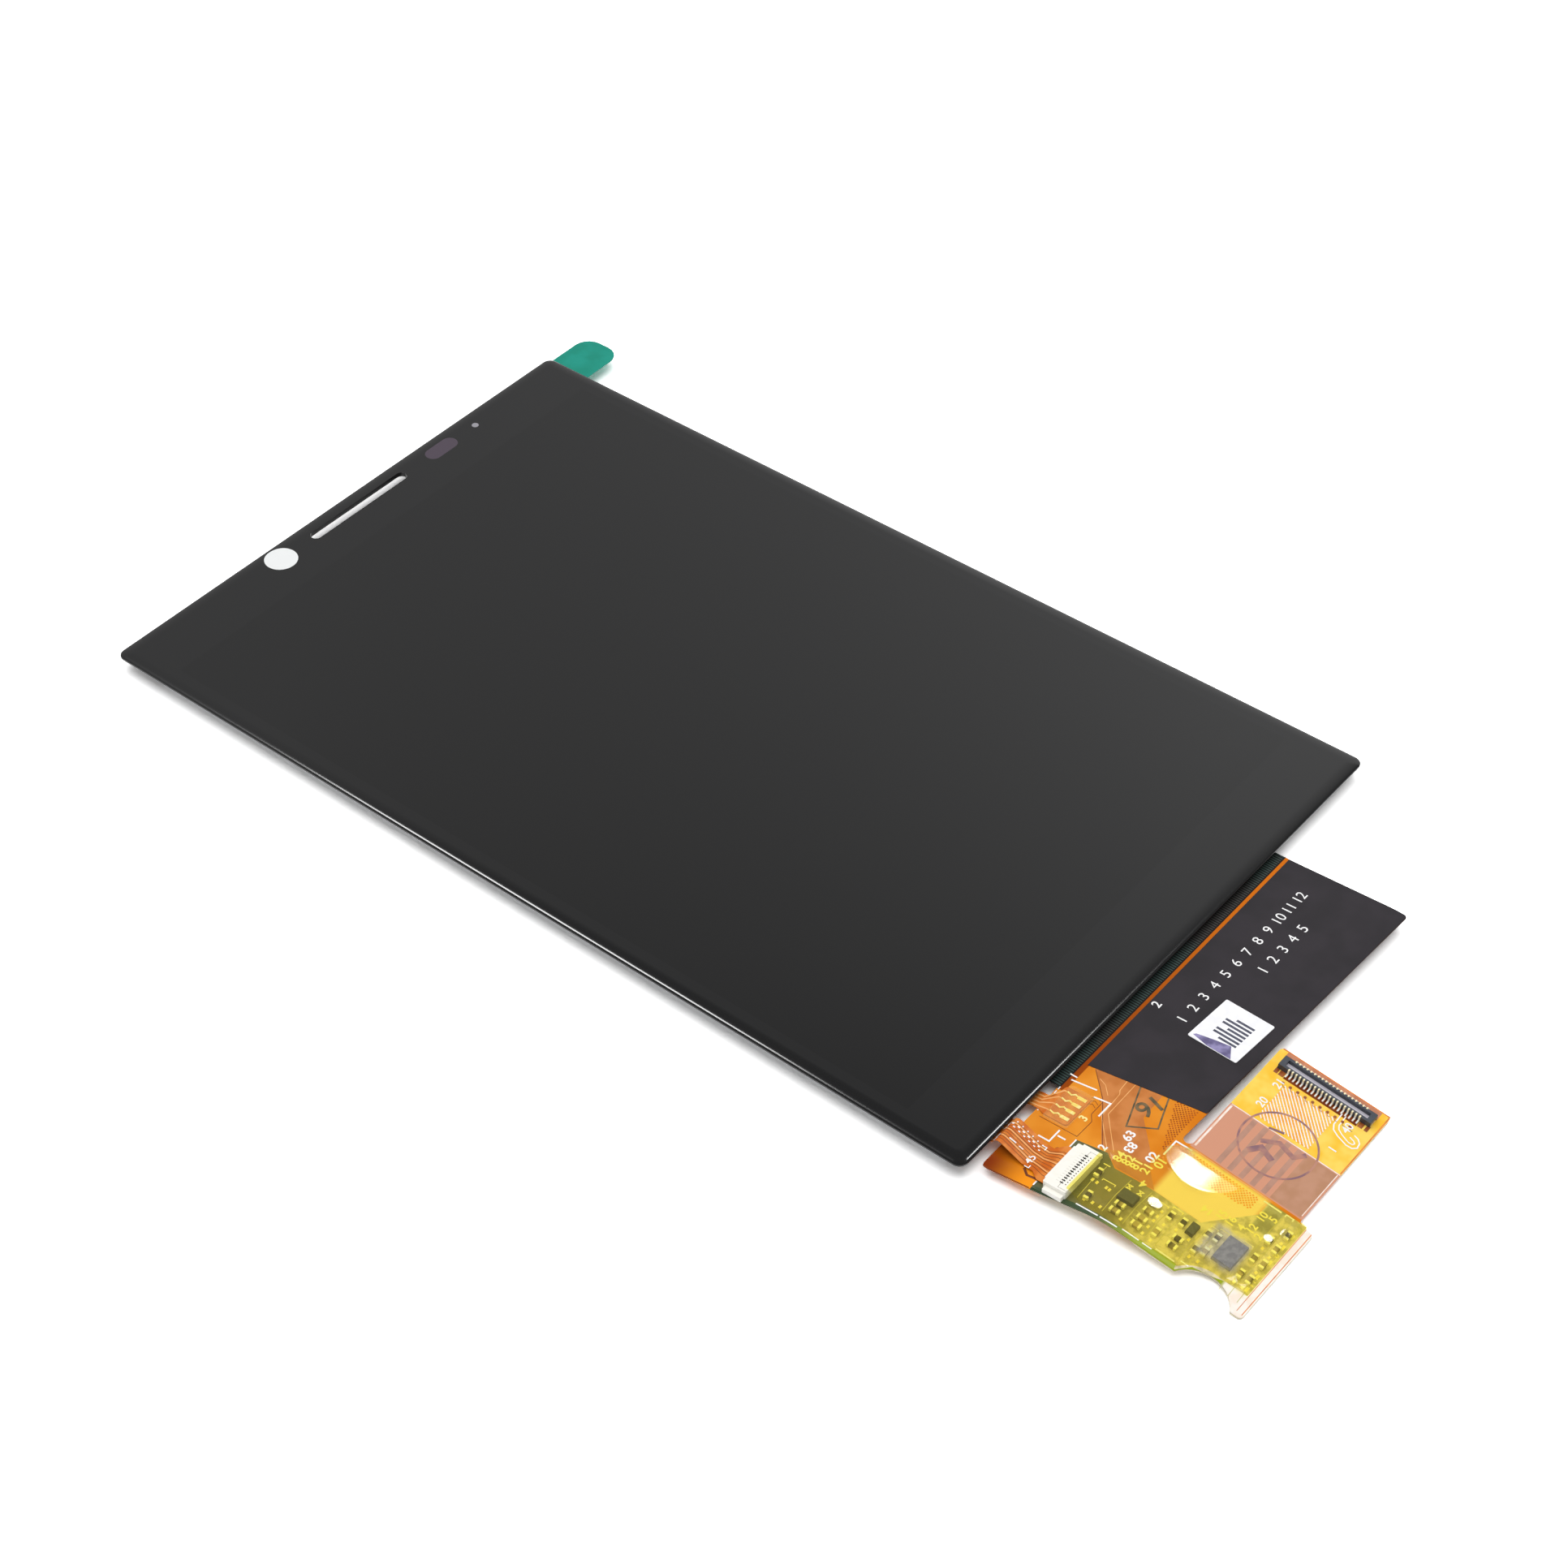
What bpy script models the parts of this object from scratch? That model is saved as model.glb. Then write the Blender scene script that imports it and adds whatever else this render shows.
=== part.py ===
"""Phone LCD screen assembly: cover glass, touch sensor, LCD cell, backlight unit and main flexible circuit.

Run with: blender --background --python part.py

Sizes are in millimetres and are turned into metres when an object is made. X runs across the glass, +Y
towards the earpiece, +Z out of the screen. The origin is the centre of the glass outline, on the flat
underside of the back plate. The main flex leaves the short edge at -Y. It is drawn flat first, as (x, v)
with v = y at its root, and is then bent along its side view, so that every piece on it rides on the bend.
"""

import math

import bmesh
import bpy
from mathutils import Matrix, Vector

MM = 0.001

# Cover glass
GLASS_WIDTH = 68.0
GLASS_LENGTH = 110.0
GLASS_THICKNESS = 0.55
GLASS_CORNER = 1.0
GLASS_SHOULDER = 1.4
GLASS_LAND = 0.15
GLASS_CHAMFER = 0.1
INK_THICKNESS = 0.02
INK_INSET = 0.25

# Openings in the top border of the glass, measured from its centre line and from its top edge
EARPIECE_WIDTH = 14.7
EARPIECE_HEIGHT = 1.35
EARPIECE_X = -0.05
OPENINGS_BELOW_TOP = 2.35
CAMERA_X = -12.1
CAMERA_DIAMETER = 3.7
SENSOR_X = 13.2
SENSOR_WIDTH = 4.5
SENSOR_HEIGHT = 1.95
INDICATOR_X = 18.8
INDICATOR_DIAMETER = 0.8

# Display area and the borders round it
SIDE_BORDER = 2.35
TOP_BORDER = 7.25
BOTTOM_BORDER = 7.75
CELL_SIDE_MARGIN = 1.05
CELL_TOP_MARGIN = 1.5
CELL_BOTTOM_MARGIN = 1.6
LEDGE_DEPTH = 3.6
POLARIZER_INSET = 0.3
PANEL_CORNER = 0.2

# Layers, from the back plate up
LAYER_GAP = 0.01
PLATE_THICKNESS = 0.12
REFLECTOR_THICKNESS = 0.06
GUIDE_THICKNESS = 0.35
FILM_THICKNESS = 0.05
FRAME_LIP_GAP = 0.04
RIM_TAPE_THICKNESS = 0.05
REAR_POLARIZER_THICKNESS = 0.09
CELL_GLASS_THICKNESS = 0.15
FRONT_POLARIZER_THICKNESS = 0.1
ADHESIVE_THICKNESS = 0.1
SENSOR_FILM_THICKNESS = 0.1

# Backlight unit
PLATE_FLANGE_HEIGHT = 0.62
PLATE_FOLD_RADIUS = 0.2
FRAME_WALL = 0.9
FRAME_CLEARANCE = 0.04
HOOKS_PER_SIDE = 4
HOOK_LENGTH = 3.0
HOOK_HEIGHT = 0.2
HOOK_REACH = 0.08
HOOK_CLEARANCE = 0.15
LED_COUNT = 8
LED_WIDTH = 3.0
LED_DEPTH = 0.9
LED_HEIGHT = 0.32
LED_CLEARANCE = 0.08
LED_BAR_DEPTH = 2.6
LED_FLEX_THICKNESS = 0.08
LED_STRIP_MARGIN = 0.7
LED_STRIP_RIGHT_MARGIN = 0.9
LED_STRIP_INSET = 0.1
LED_END_MARGIN = 0.3
FILM_STEP = 0.25
FILM_CORNER = 0.3
DRIVER_WIDTH = 21.0
DRIVER_DEPTH = 1.1
DRIVER_THICKNESS = 0.1
RIM_TAPE_WIDTH = 0.75
RIM_TAPE_INSET = 0.1

# Main flex: thickness, side view and flat outline. The distances out are from the lower edge of the glass
FLEX_THICKNESS = 0.11
BOND_GAP = 0.01
FLEX_BOND_LENGTH = 1.0
FLEX_RISE_OUT = 1.0
FLEX_RISE_ANGLE = 3.0
FLEX_RIDGE_OUT = 13.7
FLEX_FALL_ANGLE = 6.4
FLEX_BEND_RADIUS = 20.0
FLEX_CORNER = 0.4
FLEX_INNER_CORNER = 0.2
TONGUE_LEFT = -20.0
TONGUE_RIGHT = 18.1
EAR_LEFT = -31.95
EAR_OUT = 0.7
BOARD_LEFT = -30.85
BOARD_RIGHT = -19.05
EAR_WAIST_OUT = 5.6
EAR_WAIST_X = -31.6
BOARD_START_OUT = 12.0
BOARD_FOOT_LEFT = -31.05
BOARD_FOOT_RIGHT = -19.5
BOARD_FOOT_OUT = 27.5
RELIEF_X = -32.35
RELIEF_OUT = 23.35
RELIEF_RADIUS = 3.25
SLOT_TOP_OUT = 13.05
SLOT_WIDTH = 1.05
SLOT_END_X = -18.75
FIELD_END_OUT = 14.45
BRANCH_RIGHT = -3.7
BRANCH_FOOT_OUT = 25.85
PLUG_STIFFENER_LEFT = -12.45

# Films, stiffeners and tapes on the main flex
SHIELD_THICKNESS = 0.04
SHIELD_TOP_OUT = 1.3
SHIELD_LEFT_TOP = -16.3
SHIELD_LEFT_FOOT = -14.8
SHIELD_INSET = 0.05
STIFFENER_THICKNESS = 0.15
ZIF_STIFFENER_OUT = (5.7, 11.4)
ZIF_STIFFENER_INSET = 0.8
ZIF_STIFFENER_WIDTH = 6.2
BOARD_STIFFENER_OUT = 16.2
LABEL_WIDTH = 6.0
LABEL_HEIGHT = 5.5
LABEL_X = -4.9
LABEL_OUT = 9.4
LABEL_TURN = -4.0
LABEL_THICKNESS = 0.06
LABEL_CORNER = 0.15
TAPE_THICKNESS = 0.05
TAPE_LEFT = -30.35
TAPE_FOOT_LEFT = -28.8
TAPE_RELIEF_MARGIN = 0.35
TAPE_LAP = 0.25
TAPE_CORNER_X = -24.5
TAPE_STEP_OUT = 14.3
TAPE_FOOT_OUT = 26.65
TAPE_CORNER = 0.2
TAPE_COVER = 0.06
TAPE_SLOPE = 0.9
TAPE_TENT_LENGTH = 1.6
TAPE_CELL = 0.6

# Board connector at the end of the branch
PLUG_X = -5.39
PLUG_OUT = 20.0
PLUG_LENGTH = 9.9
PLUG_WIDTH = 1.3
PLUG_HEIGHT = 0.6
PLUG_WALL = 0.3
PLUG_END_WALL = 0.55
PLUG_FLOOR = 0.15
CONTACTS_PER_SIDE = 20
CONTACT_PITCH = 0.4
CONTACT_WIDTH = 0.16
CONTACT_THICKNESS = 0.08
CONTACT_REACH = 0.46
CONTACT_LAP = 0.14

# Insertion connector for the touch tail
ZIF_X = -28.05
ZIF_OUT = 7.65
ZIF_WIDTH = 5.5
ZIF_DEPTH = 2.5
ZIF_HEIGHT = 0.9
ZIF_CORNER = 0.1
ZIF_MOUTH_WIDTH = 5.1
ZIF_MOUTH_DEPTH = 1.5
ZIF_MOUTH_HEIGHT = 0.26
ZIF_MOUTH_BASE = 0.1
ZIF_LOCK_DEPTH = 0.95
ZIF_LOCK_THICKNESS = 0.3
ZIF_LOCK_CLEARANCE = 0.04
ZIF_WING = 0.5
ZIF_WING_HEIGHT = 0.5
ZIF_WING_SETBACK = 0.4
ZIF_NOTCH = 0.12
ZIF_CONTACTS = 13
ZIF_PITCH = 0.32
ZIF_CONTACT_WIDTH = 0.14
ZIF_CONTACT_REACH = 0.18
ZIF_CONTACT_ROOT = 0.2
ZIF_SLIT_DEPTH = 0.36
ZIF_SLIT_LAP = 0.1
ZIF_DOT = 0.12
ZIF_DOT_INSET = 0.45

# Tails of the touch sensor and of the LED strip
TAIL_THICKNESS = 0.08
TAIL_CORNER = 0.2
TOUCH_TAIL_X = -27.75
TOUCH_TAIL_WIDTH = 3.3
TOUCH_TAIL_SHIFT = -0.5
TOUCH_TAIL_BOND = 1.0
TOUCH_BEND_START = 0.35
TOUCH_BEND_RADIUS = 0.6
TOUCH_RISE_ANGLE = 60.0
TOUCH_RISE_LENGTH = 0.25
TOUCH_FALL_LENGTH = 2.6
TOUCH_HEAD_WIDTH = 4.9
TOUCH_HEAD_SHOULDER = 0.8
TOUCH_HEAD_DEPTH = 1.2
TOUCH_HEAD_CORNER = 0.1
TOUCH_HEAD_GAP = 0.03
LED_TAIL_X = -22.5
LED_TAIL_WIDTH = 1.9
LED_TAIL_LEVEL = 0.4
LED_TAIL_BEND = 0.9
LED_TAIL_CLIMB = 2.85
LED_PAD_X = -21.65
LED_PAD_WIDTH = 4.0
LED_PAD_START_OUT = 1.1
LED_PAD_END_OUT = 4.2
LED_PAD_SHOULDER = 0.4
PAD_TAPE_WIDTH = 4.7
PAD_TAPE_OUT = (1.6, 4.3)

# Small components on the main flex: a chip resistor or capacitor has raised metal ends
CHIP_LENGTH = 1.0
CHIP_WIDTH = 0.5
CHIP_HEIGHT = 0.34
CHIP_END = 0.25
CHIP_END_STEP = 0.02
SOLDER_GAP = 0.02
MEMORY_SIZE = (3.0, 2.0, 0.45)
DIODE_SIZE = (1.2, 1.7, 0.4)
SWITCH_SIZE = (1.3, 0.8, 0.42)
PACKAGE_DRAFT = 0.04
PACKAGE_PARTING = 0.4

# Pull tab of the protective film
PULL_TAB_REACH = 6.3
PULL_TAB_BELOW_TOP = (0.3, 5.7)
PULL_TAB_CORNER = 2.0
PULL_TAB_THICKNESS = 0.06
PULL_TAB_OVERLAP = 0.85

# How far a cutter runs past the piece it cuts, and the steps of a curve
CUT_OVERRUN = 1.0
ARC_STEPS = 5
BEND_STEPS = 6

# Places that follow from the sizes above
GLASS_END = -GLASS_LENGTH / 2
GLASS_TOP = GLASS_LENGTH / 2
OPENINGS_Y = GLASS_TOP - OPENINGS_BELOW_TOP
ACTIVE_RIGHT = GLASS_WIDTH / 2 - SIDE_BORDER
ACTIVE_TOP = GLASS_TOP - TOP_BORDER
ACTIVE_END = GLASS_END + BOTTOM_BORDER
CELL_RIGHT = ACTIVE_RIGHT + CELL_SIDE_MARGIN
CELL_TOP = ACTIVE_TOP + CELL_TOP_MARGIN
CELL_END = ACTIVE_END - CELL_BOTTOM_MARGIN
LEDGE_END = CELL_END - LEDGE_DEPTH
PLATE_OUTER = CELL_RIGHT + PLATE_THICKNESS
FRAME_RIGHT = CELL_RIGHT - FRAME_CLEARANCE
FRAME_INNER_RIGHT = FRAME_RIGHT - FRAME_WALL
FRAME_INNER_TOP = CELL_TOP - FRAME_WALL
LED_BAR_TOP = LEDGE_END + LED_BAR_DEPTH
FLEX_ROOT = LEDGE_END + FLEX_BOND_LENGTH


class Stack:
    """Layers laid one on another: each call gives the height of the next layer's underside."""

    def __init__(self, base):
        self.top = base

    def add(self, thickness, gap=LAYER_GAP):
        base = self.top + gap
        self.top = base + thickness
        return base


layers = Stack(0.0)
PLATE_Z = layers.add(PLATE_THICKNESS, gap=0.0)
REFLECTOR_Z = layers.add(REFLECTOR_THICKNESS)
GUIDE_Z = layers.add(GUIDE_THICKNESS)
DIFFUSER_Z = layers.add(FILM_THICKNESS)
LOWER_PRISM_Z = layers.add(FILM_THICKNESS)
UPPER_PRISM_Z = layers.add(FILM_THICKNESS)
RIM_TAPE_Z = layers.add(RIM_TAPE_THICKNESS, gap=FRAME_LIP_GAP)
REAR_POLARIZER_Z = layers.add(REAR_POLARIZER_THICKNESS)
ARRAY_GLASS_Z = layers.add(CELL_GLASS_THICKNESS)
FILTER_GLASS_Z = layers.add(CELL_GLASS_THICKNESS)
FRONT_POLARIZER_Z = layers.add(FRONT_POLARIZER_THICKNESS)
LOWER_ADHESIVE_Z = layers.add(ADHESIVE_THICKNESS)
SENSOR_FILM_Z = layers.add(SENSOR_FILM_THICKNESS)
UPPER_ADHESIVE_Z = layers.add(ADHESIVE_THICKNESS)
INK_Z = layers.add(INK_THICKNESS)
GLASS_Z = layers.add(GLASS_THICKNESS)
FRAME_Z = PLATE_THICKNESS + LAYER_GAP
FRAME_HEIGHT = RIM_TAPE_Z - LAYER_GAP - FRAME_Z
FLEX_Z = ARRAY_GLASS_Z + CELL_GLASS_THICKNESS + BOND_GAP


def out(distance):
    """The flat coordinate v of a place this far out from the lower edge of the glass."""
    return GLASS_END - distance


class Course:
    """Side view of a bent strip: straight legs and arcs, each (length, turn in degrees), from a start."""

    def __init__(self, start_v, start_z, legs, slope=0.0):
        self.start = (start_v, start_z, math.radians(slope))
        self.legs = [(length, math.radians(turn)) for length, turn in legs]

    def at(self, v):
        """The height line at flat coordinate v, as (y, z, slope), where slope is the rise going outwards."""
        y, z, slope = self.start
        left = y - v
        if left < 0:
            return v, z - left * math.tan(slope), slope
        for length, turn in self.legs + [(math.inf, 0.0)]:
            run = min(left, length)
            part = turn * run / length if turn else 0.0
            chord = run * (math.sin(part / 2) / (part / 2) if part else 1.0)
            y -= chord * math.cos(slope + part / 2)
            z += chord * math.sin(slope + part / 2)
            slope += part
            left -= run
            if left <= 0:
                break
        return y, z, slope

    def cuts(self):
        """The flat coordinates at which a sheet is divided, so that it follows the arcs."""
        v = self.start[0]
        found = [v]
        for length, turn in self.legs:
            steps = BEND_STEPS if turn else 1
            found += [v - length * (k + 1) / steps for k in range(steps)]
            v -= length
        return found

    def place(self, x, v, height, turn=0.0):
        """The matrix, in metres, that seats a rigid piece this high above the strip, turned in its plane."""
        y, z, slope = self.at(v)
        spot = Vector((x, y + height * math.sin(slope), z + height * math.cos(slope)))
        lean = Matrix.Rotation(-slope, 4, "X") @ Matrix.Rotation(math.radians(turn), 4, "Z")
        return Matrix.Translation(spot * MM) @ lean


def flex_course():
    """The underside of the main flex: level on its bond, up to the ridge by the slot, then down to rest."""
    rise = FLEX_BEND_RADIUS * math.radians(FLEX_RISE_ANGLE)
    fall = FLEX_BEND_RADIUS * math.radians(FLEX_RISE_ANGLE + FLEX_FALL_ANGLE)
    straight = FLEX_RIDGE_OUT - FLEX_RISE_OUT - rise - fall / 2
    legs = [
        (rise, FLEX_RISE_ANGLE),
        (straight, 0.0),
        (fall, -FLEX_RISE_ANGLE - FLEX_FALL_ANGLE),
    ]
    return Course(out(FLEX_RISE_OUT), FLEX_Z, legs)


FLEX = flex_course()


def solve(error, low, high):
    """The value between low and high at which an error that rises with it is zero."""
    for _ in range(40):
        middle = (low + high) / 2
        if error(middle) > 0:
            high = middle
        else:
            low = middle
    return middle


def clear_scene():
    for obj in list(bpy.data.objects):
        bpy.data.objects.remove(obj, do_unlink=True)


def make_collection(name):
    collection = bpy.data.collections.new(name)
    bpy.context.scene.collection.children.link(collection)
    return collection


clear_scene()
PARTS = make_collection("phone_lcd_screen_assembly")
CUTTERS = make_collection("cutters")


def material(name, color, roughness, metallic=0.0, alpha=1.0):
    """A Principled material, made once for each name."""
    found = bpy.data.materials.get(name)
    if found:
        return found
    made = bpy.data.materials.new(name)
    made.use_nodes = True
    shader = made.node_tree.nodes["Principled BSDF"]
    shader.inputs["Base Color"].default_value = (*color, 1.0)
    shader.inputs["Roughness"].default_value = roughness
    shader.inputs["Metallic"].default_value = metallic
    shader.inputs["Alpha"].default_value = alpha
    made.diffuse_color = (*color, alpha)
    return made


GLASS = ("cover_glass", (0.02, 0.02, 0.022), 0.03)
INK = ("black_ink", (0.012, 0.012, 0.013), 0.5)
IR_INK = ("ir_ink", (0.12, 0.09, 0.13), 0.3)
ADHESIVE = ("clear_adhesive", (0.8, 0.8, 0.8), 0.1, 0.0, 0.4)
SENSOR = ("touch_film", (0.6, 0.62, 0.62), 0.1, 0.0, 0.5)
POLARIZER = ("polarizer_film", (0.05, 0.05, 0.055), 0.15)
CELL_GLASS = ("cell_glass", (0.35, 0.4, 0.4), 0.05)
SILICON = ("driver_silicon", (0.06, 0.06, 0.07), 0.25)
RIM_TAPE = ("black_tape", (0.02, 0.02, 0.02), 0.6)
PRISM_FILM = ("optical_film", (0.85, 0.86, 0.88), 0.3)
GUIDE = ("light_guide", (0.9, 0.92, 0.93), 0.1)
REFLECTOR = ("reflector_film", (0.92, 0.93, 0.94), 0.15)
FRAME_PLASTIC = ("white_plastic", (0.85, 0.85, 0.83), 0.5)
STEEL = ("back_plate_steel", (0.6, 0.61, 0.62), 0.35, 1.0)
FLEX_FILM = ("flex_polyimide", (0.75, 0.33, 0.07), 0.35)
TAIL_FILM = ("tail_polyimide", (0.62, 0.28, 0.1), 0.35)
SHIELD = ("black_shield_film", (0.03, 0.028, 0.032), 0.4)
STIFFENER = ("stiffener", (0.75, 0.68, 0.52), 0.5)
PLUG_PLASTIC = ("black_plastic", (0.03, 0.032, 0.035), 0.4)
ZIF_PLASTIC = ("ivory_plastic", (0.88, 0.86, 0.8), 0.45)
CHIP_CERAMIC = ("chip_ceramic", (0.45, 0.36, 0.24), 0.4)
PACKAGE = ("chip_package", (0.06, 0.06, 0.07), 0.45)
YELLOW_TAPE = ("polyimide_tape", (0.8, 0.6, 0.05), 0.2, 0.0, 0.6)
LABEL_PAPER = ("label_paper", (0.88, 0.88, 0.88), 0.6)
TAB_FILM = ("green_tab", (0.01, 0.34, 0.29), 0.4)


def rounded(corners):
    """Points of a closed outline whose corners, each (x, y, radius), are rounded off."""
    points = []
    for index, (x, y, radius) in enumerate(corners):
        here = Vector((x, y))
        if radius == 0:
            points.append(here)
            continue
        before = (Vector(corners[index - 1][:2]) - here).normalized()
        after = (Vector(corners[(index + 1) % len(corners)][:2]) - here).normalized()
        half = before.angle(after) / 2
        reach = radius / math.tan(half)
        centre = here + (before + after).normalized() * (radius / math.sin(half))
        first = here + before * reach - centre
        last = here + after * reach - centre
        sweep = first.angle_signed(last)
        for step in range(ARC_STEPS + 1):
            points.append(centre + first @ Matrix.Rotation(sweep * step / ARC_STEPS, 2))
    return points


def rectangle(left, right, low, high, radius=0.0):
    return rounded([(left, low, radius), (right, low, radius), (right, high, radius), (left, high, radius)])


def circle(x, y, radius, sides=32):
    turns = [2 * math.pi * k / sides for k in range(sides)]
    return [Vector((x + radius * math.cos(a), y + radius * math.sin(a))) for a in turns]


def pill(x, y, width, height, steps=10):
    """An outline with round ends, as wide as stated along X."""
    radius = height / 2
    reach = width / 2 - radius
    right = [math.pi * (k / steps - 0.5) for k in range(steps + 1)]
    left = [a + math.pi for a in right]
    ends = [(x + reach, a) for a in right] + [(x - reach, a) for a in left]
    return [Vector((cx + radius * math.cos(a), y + radius * math.sin(a))) for cx, a in ends]


def weld(mesh):
    """Joins the shell of a filled outline, and makes each of its flat sides one face where it has no hole."""
    edit = bmesh.new()
    edit.from_mesh(mesh)
    bmesh.ops.remove_doubles(edit, verts=edit.verts, dist=1e-4)
    bmesh.ops.dissolve_limit(edit, angle_limit=math.radians(0.5), verts=edit.verts, edges=edit.edges)
    bmesh.ops.recalc_face_normals(edit, faces=edit.faces)
    edit.to_mesh(mesh)
    edit.free()


def sheet_mesh(outlines, thickness, base=0.0):
    """Mesh of a flat sheet: the first outline is its edge, and the others are holes through it."""
    curve = bpy.data.curves.new("outline", "CURVE")
    curve.dimensions = "2D"
    curve.fill_mode = "BOTH"
    curve.extrude = thickness / 2
    for outline in outlines:
        spline = curve.splines.new("POLY")
        spline.points.add(len(outline) - 1)
        for point, spot in zip(spline.points, outline):
            point.co = (spot.x, spot.y, 0.0, 1.0)
        spline.use_cyclic_u = True
    guide = bpy.data.objects.new("outline", curve)
    bpy.context.scene.collection.objects.link(guide)
    graph = bpy.context.evaluated_depsgraph_get()
    mesh = bpy.data.meshes.new_from_object(guide.evaluated_get(graph))
    bpy.data.objects.remove(guide)
    bpy.data.curves.remove(curve)
    mesh.transform(Matrix.Translation((0, 0, base + thickness / 2)))
    weld(mesh)
    return mesh


def loft_mesh(rings):
    """Mesh skinned through rings of equally many points and closed by a face at each end."""
    edit = bmesh.new()
    loops = [[edit.verts.new(point) for point in ring] for ring in rings]
    for lower, upper in zip(loops, loops[1:]):
        for k in range(len(lower)):
            follow = (k + 1) % len(lower)
            edit.faces.new((lower[k], lower[follow], upper[follow], upper[k]))
    edit.faces.new(reversed(loops[0]))
    edit.faces.new(loops[-1])
    bmesh.ops.recalc_face_normals(edit, faces=edit.faces)
    mesh = bpy.data.meshes.new("loft")
    edit.to_mesh(mesh)
    edit.free()
    return mesh


def box_mesh(boxes):
    """Mesh of separate boxes, each given as its lowest and highest corner."""
    edit = bmesh.new()
    for low, high in boxes:
        size = [b - a for a, b in zip(low, high)]
        middle = [(a + b) / 2 for a, b in zip(low, high)]
        place = Matrix.Translation(middle) @ Matrix.Diagonal((*size, 1.0))
        bmesh.ops.create_cube(edit, size=1.0, matrix=place)
    mesh = bpy.data.meshes.new("boxes")
    edit.to_mesh(mesh)
    edit.free()
    return mesh


def bend(mesh, course):
    """Divides a flat mesh across the bends of a course and lays it along that course."""
    edit = bmesh.new()
    edit.from_mesh(mesh)
    for v in course.cuts():
        geometry = edit.verts[:] + edit.edges[:] + edit.faces[:]
        bmesh.ops.bisect_plane(edit, geom=geometry, dist=1e-3, plane_co=(0, v, 0), plane_no=(0, 1, 0))
    for vert in edit.verts:
        x, v, height = vert.co
        y, z, slope = course.at(v)
        vert.co = (x, y + height * math.sin(slope), z + height * math.cos(slope))
    edit.to_mesh(mesh)
    edit.free()
    return mesh


def node(name, mesh, look, matrix=None, collection=PARTS):
    """An object in metres, from a mesh in millimetres."""
    mesh.name = name
    mesh.transform(Matrix.Scale(MM, 4))
    if look:
        mesh.materials.clear()
        mesh.materials.append(material(*look))
    obj = bpy.data.objects.new(name, mesh)
    if matrix:
        obj.matrix_world = matrix
    collection.objects.link(obj)
    return obj


def cutter(name, mesh, matrix=None):
    obj = node(name, mesh, None, matrix, CUTTERS)
    obj.hide_render = True
    obj.display_type = "WIRE"
    return obj


def combine(obj, other, operation):
    modifier = obj.modifiers.new(other.name, "BOOLEAN")
    modifier.operation = operation
    modifier.solver = "EXACT"
    modifier.use_self = True
    modifier.object = other


def glass_outline(inset):
    half_width = GLASS_WIDTH / 2 - inset
    half_length = GLASS_LENGTH / 2 - inset
    radius = GLASS_CORNER - inset * GLASS_CORNER / (GLASS_CORNER + GLASS_SHOULDER)
    return rectangle(-half_width, half_width, -half_length, half_length, radius)


def earpiece_outline(margin=0.0):
    return pill(EARPIECE_X, OPENINGS_Y, EARPIECE_WIDTH + 2 * margin, EARPIECE_HEIGHT + 2 * margin)


def make_cover_glass():
    """The cover glass: an elliptic shoulder runs round its front, and the earpiece slot goes through."""
    side_top = GLASS_Z + GLASS_CHAMFER + GLASS_LAND
    rise = GLASS_Z + GLASS_THICKNESS - side_top
    section = [(GLASS_CHAMFER, GLASS_Z), (0.0, GLASS_Z + GLASS_CHAMFER)]
    for step in range(9):
        angle = math.radians(90 * step / 8)
        section.append((GLASS_SHOULDER * (1 - math.cos(angle)), side_top + rise * math.sin(angle)))
    rings = [[(p.x, p.y, z) for p in glass_outline(inset)] for inset, z in section]
    glass = node("cover_glass", loft_mesh(rings), GLASS)
    slot = sheet_mesh([earpiece_outline()], 3 * GLASS_THICKNESS, GLASS_Z - GLASS_THICKNESS)
    combine(glass, cutter("earpiece_cutter", slot), "DIFFERENCE")


def make_ink():
    """The black border printed on the back of the glass, and the dark window over the light sensor."""
    holes = [
        rectangle(-ACTIVE_RIGHT, ACTIVE_RIGHT, ACTIVE_END, ACTIVE_TOP),
        circle(CAMERA_X, OPENINGS_Y, CAMERA_DIAMETER / 2),
        earpiece_outline(INK_INSET / 2),
        pill(SENSOR_X, OPENINGS_Y, SENSOR_WIDTH, SENSOR_HEIGHT),
        circle(INDICATOR_X, OPENINGS_Y, INDICATOR_DIAMETER / 2, 16),
    ]
    node("ink_border", sheet_mesh([glass_outline(INK_INSET)] + holes, INK_THICKNESS, INK_Z), INK)
    window = pill(SENSOR_X, OPENINGS_Y, SENSOR_WIDTH - LAYER_GAP, SENSOR_HEIGHT - LAYER_GAP)
    node("sensor_window_ink", sheet_mesh([window], INK_THICKNESS, INK_Z), IR_INK)


def panel_sheet(name, look, base, thickness, end=CELL_END, inset=0.0):
    """A rectangular layer over the LCD cell."""
    edge = rectangle(-CELL_RIGHT + inset, CELL_RIGHT - inset, end + inset, CELL_TOP - inset, PANEL_CORNER)
    return node(name, sheet_mesh([edge], thickness, base), look)


def make_touch_layers():
    panel_sheet("upper_adhesive", ADHESIVE, UPPER_ADHESIVE_Z, ADHESIVE_THICKNESS, inset=POLARIZER_INSET)
    panel_sheet("touch_sensor", SENSOR, SENSOR_FILM_Z, SENSOR_FILM_THICKNESS)
    panel_sheet(
        "lower_adhesive",
        ADHESIVE,
        LOWER_ADHESIVE_Z,
        ADHESIVE_THICKNESS,
        end=CELL_END + TOUCH_TAIL_BOND,
        inset=POLARIZER_INSET,
    )


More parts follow.
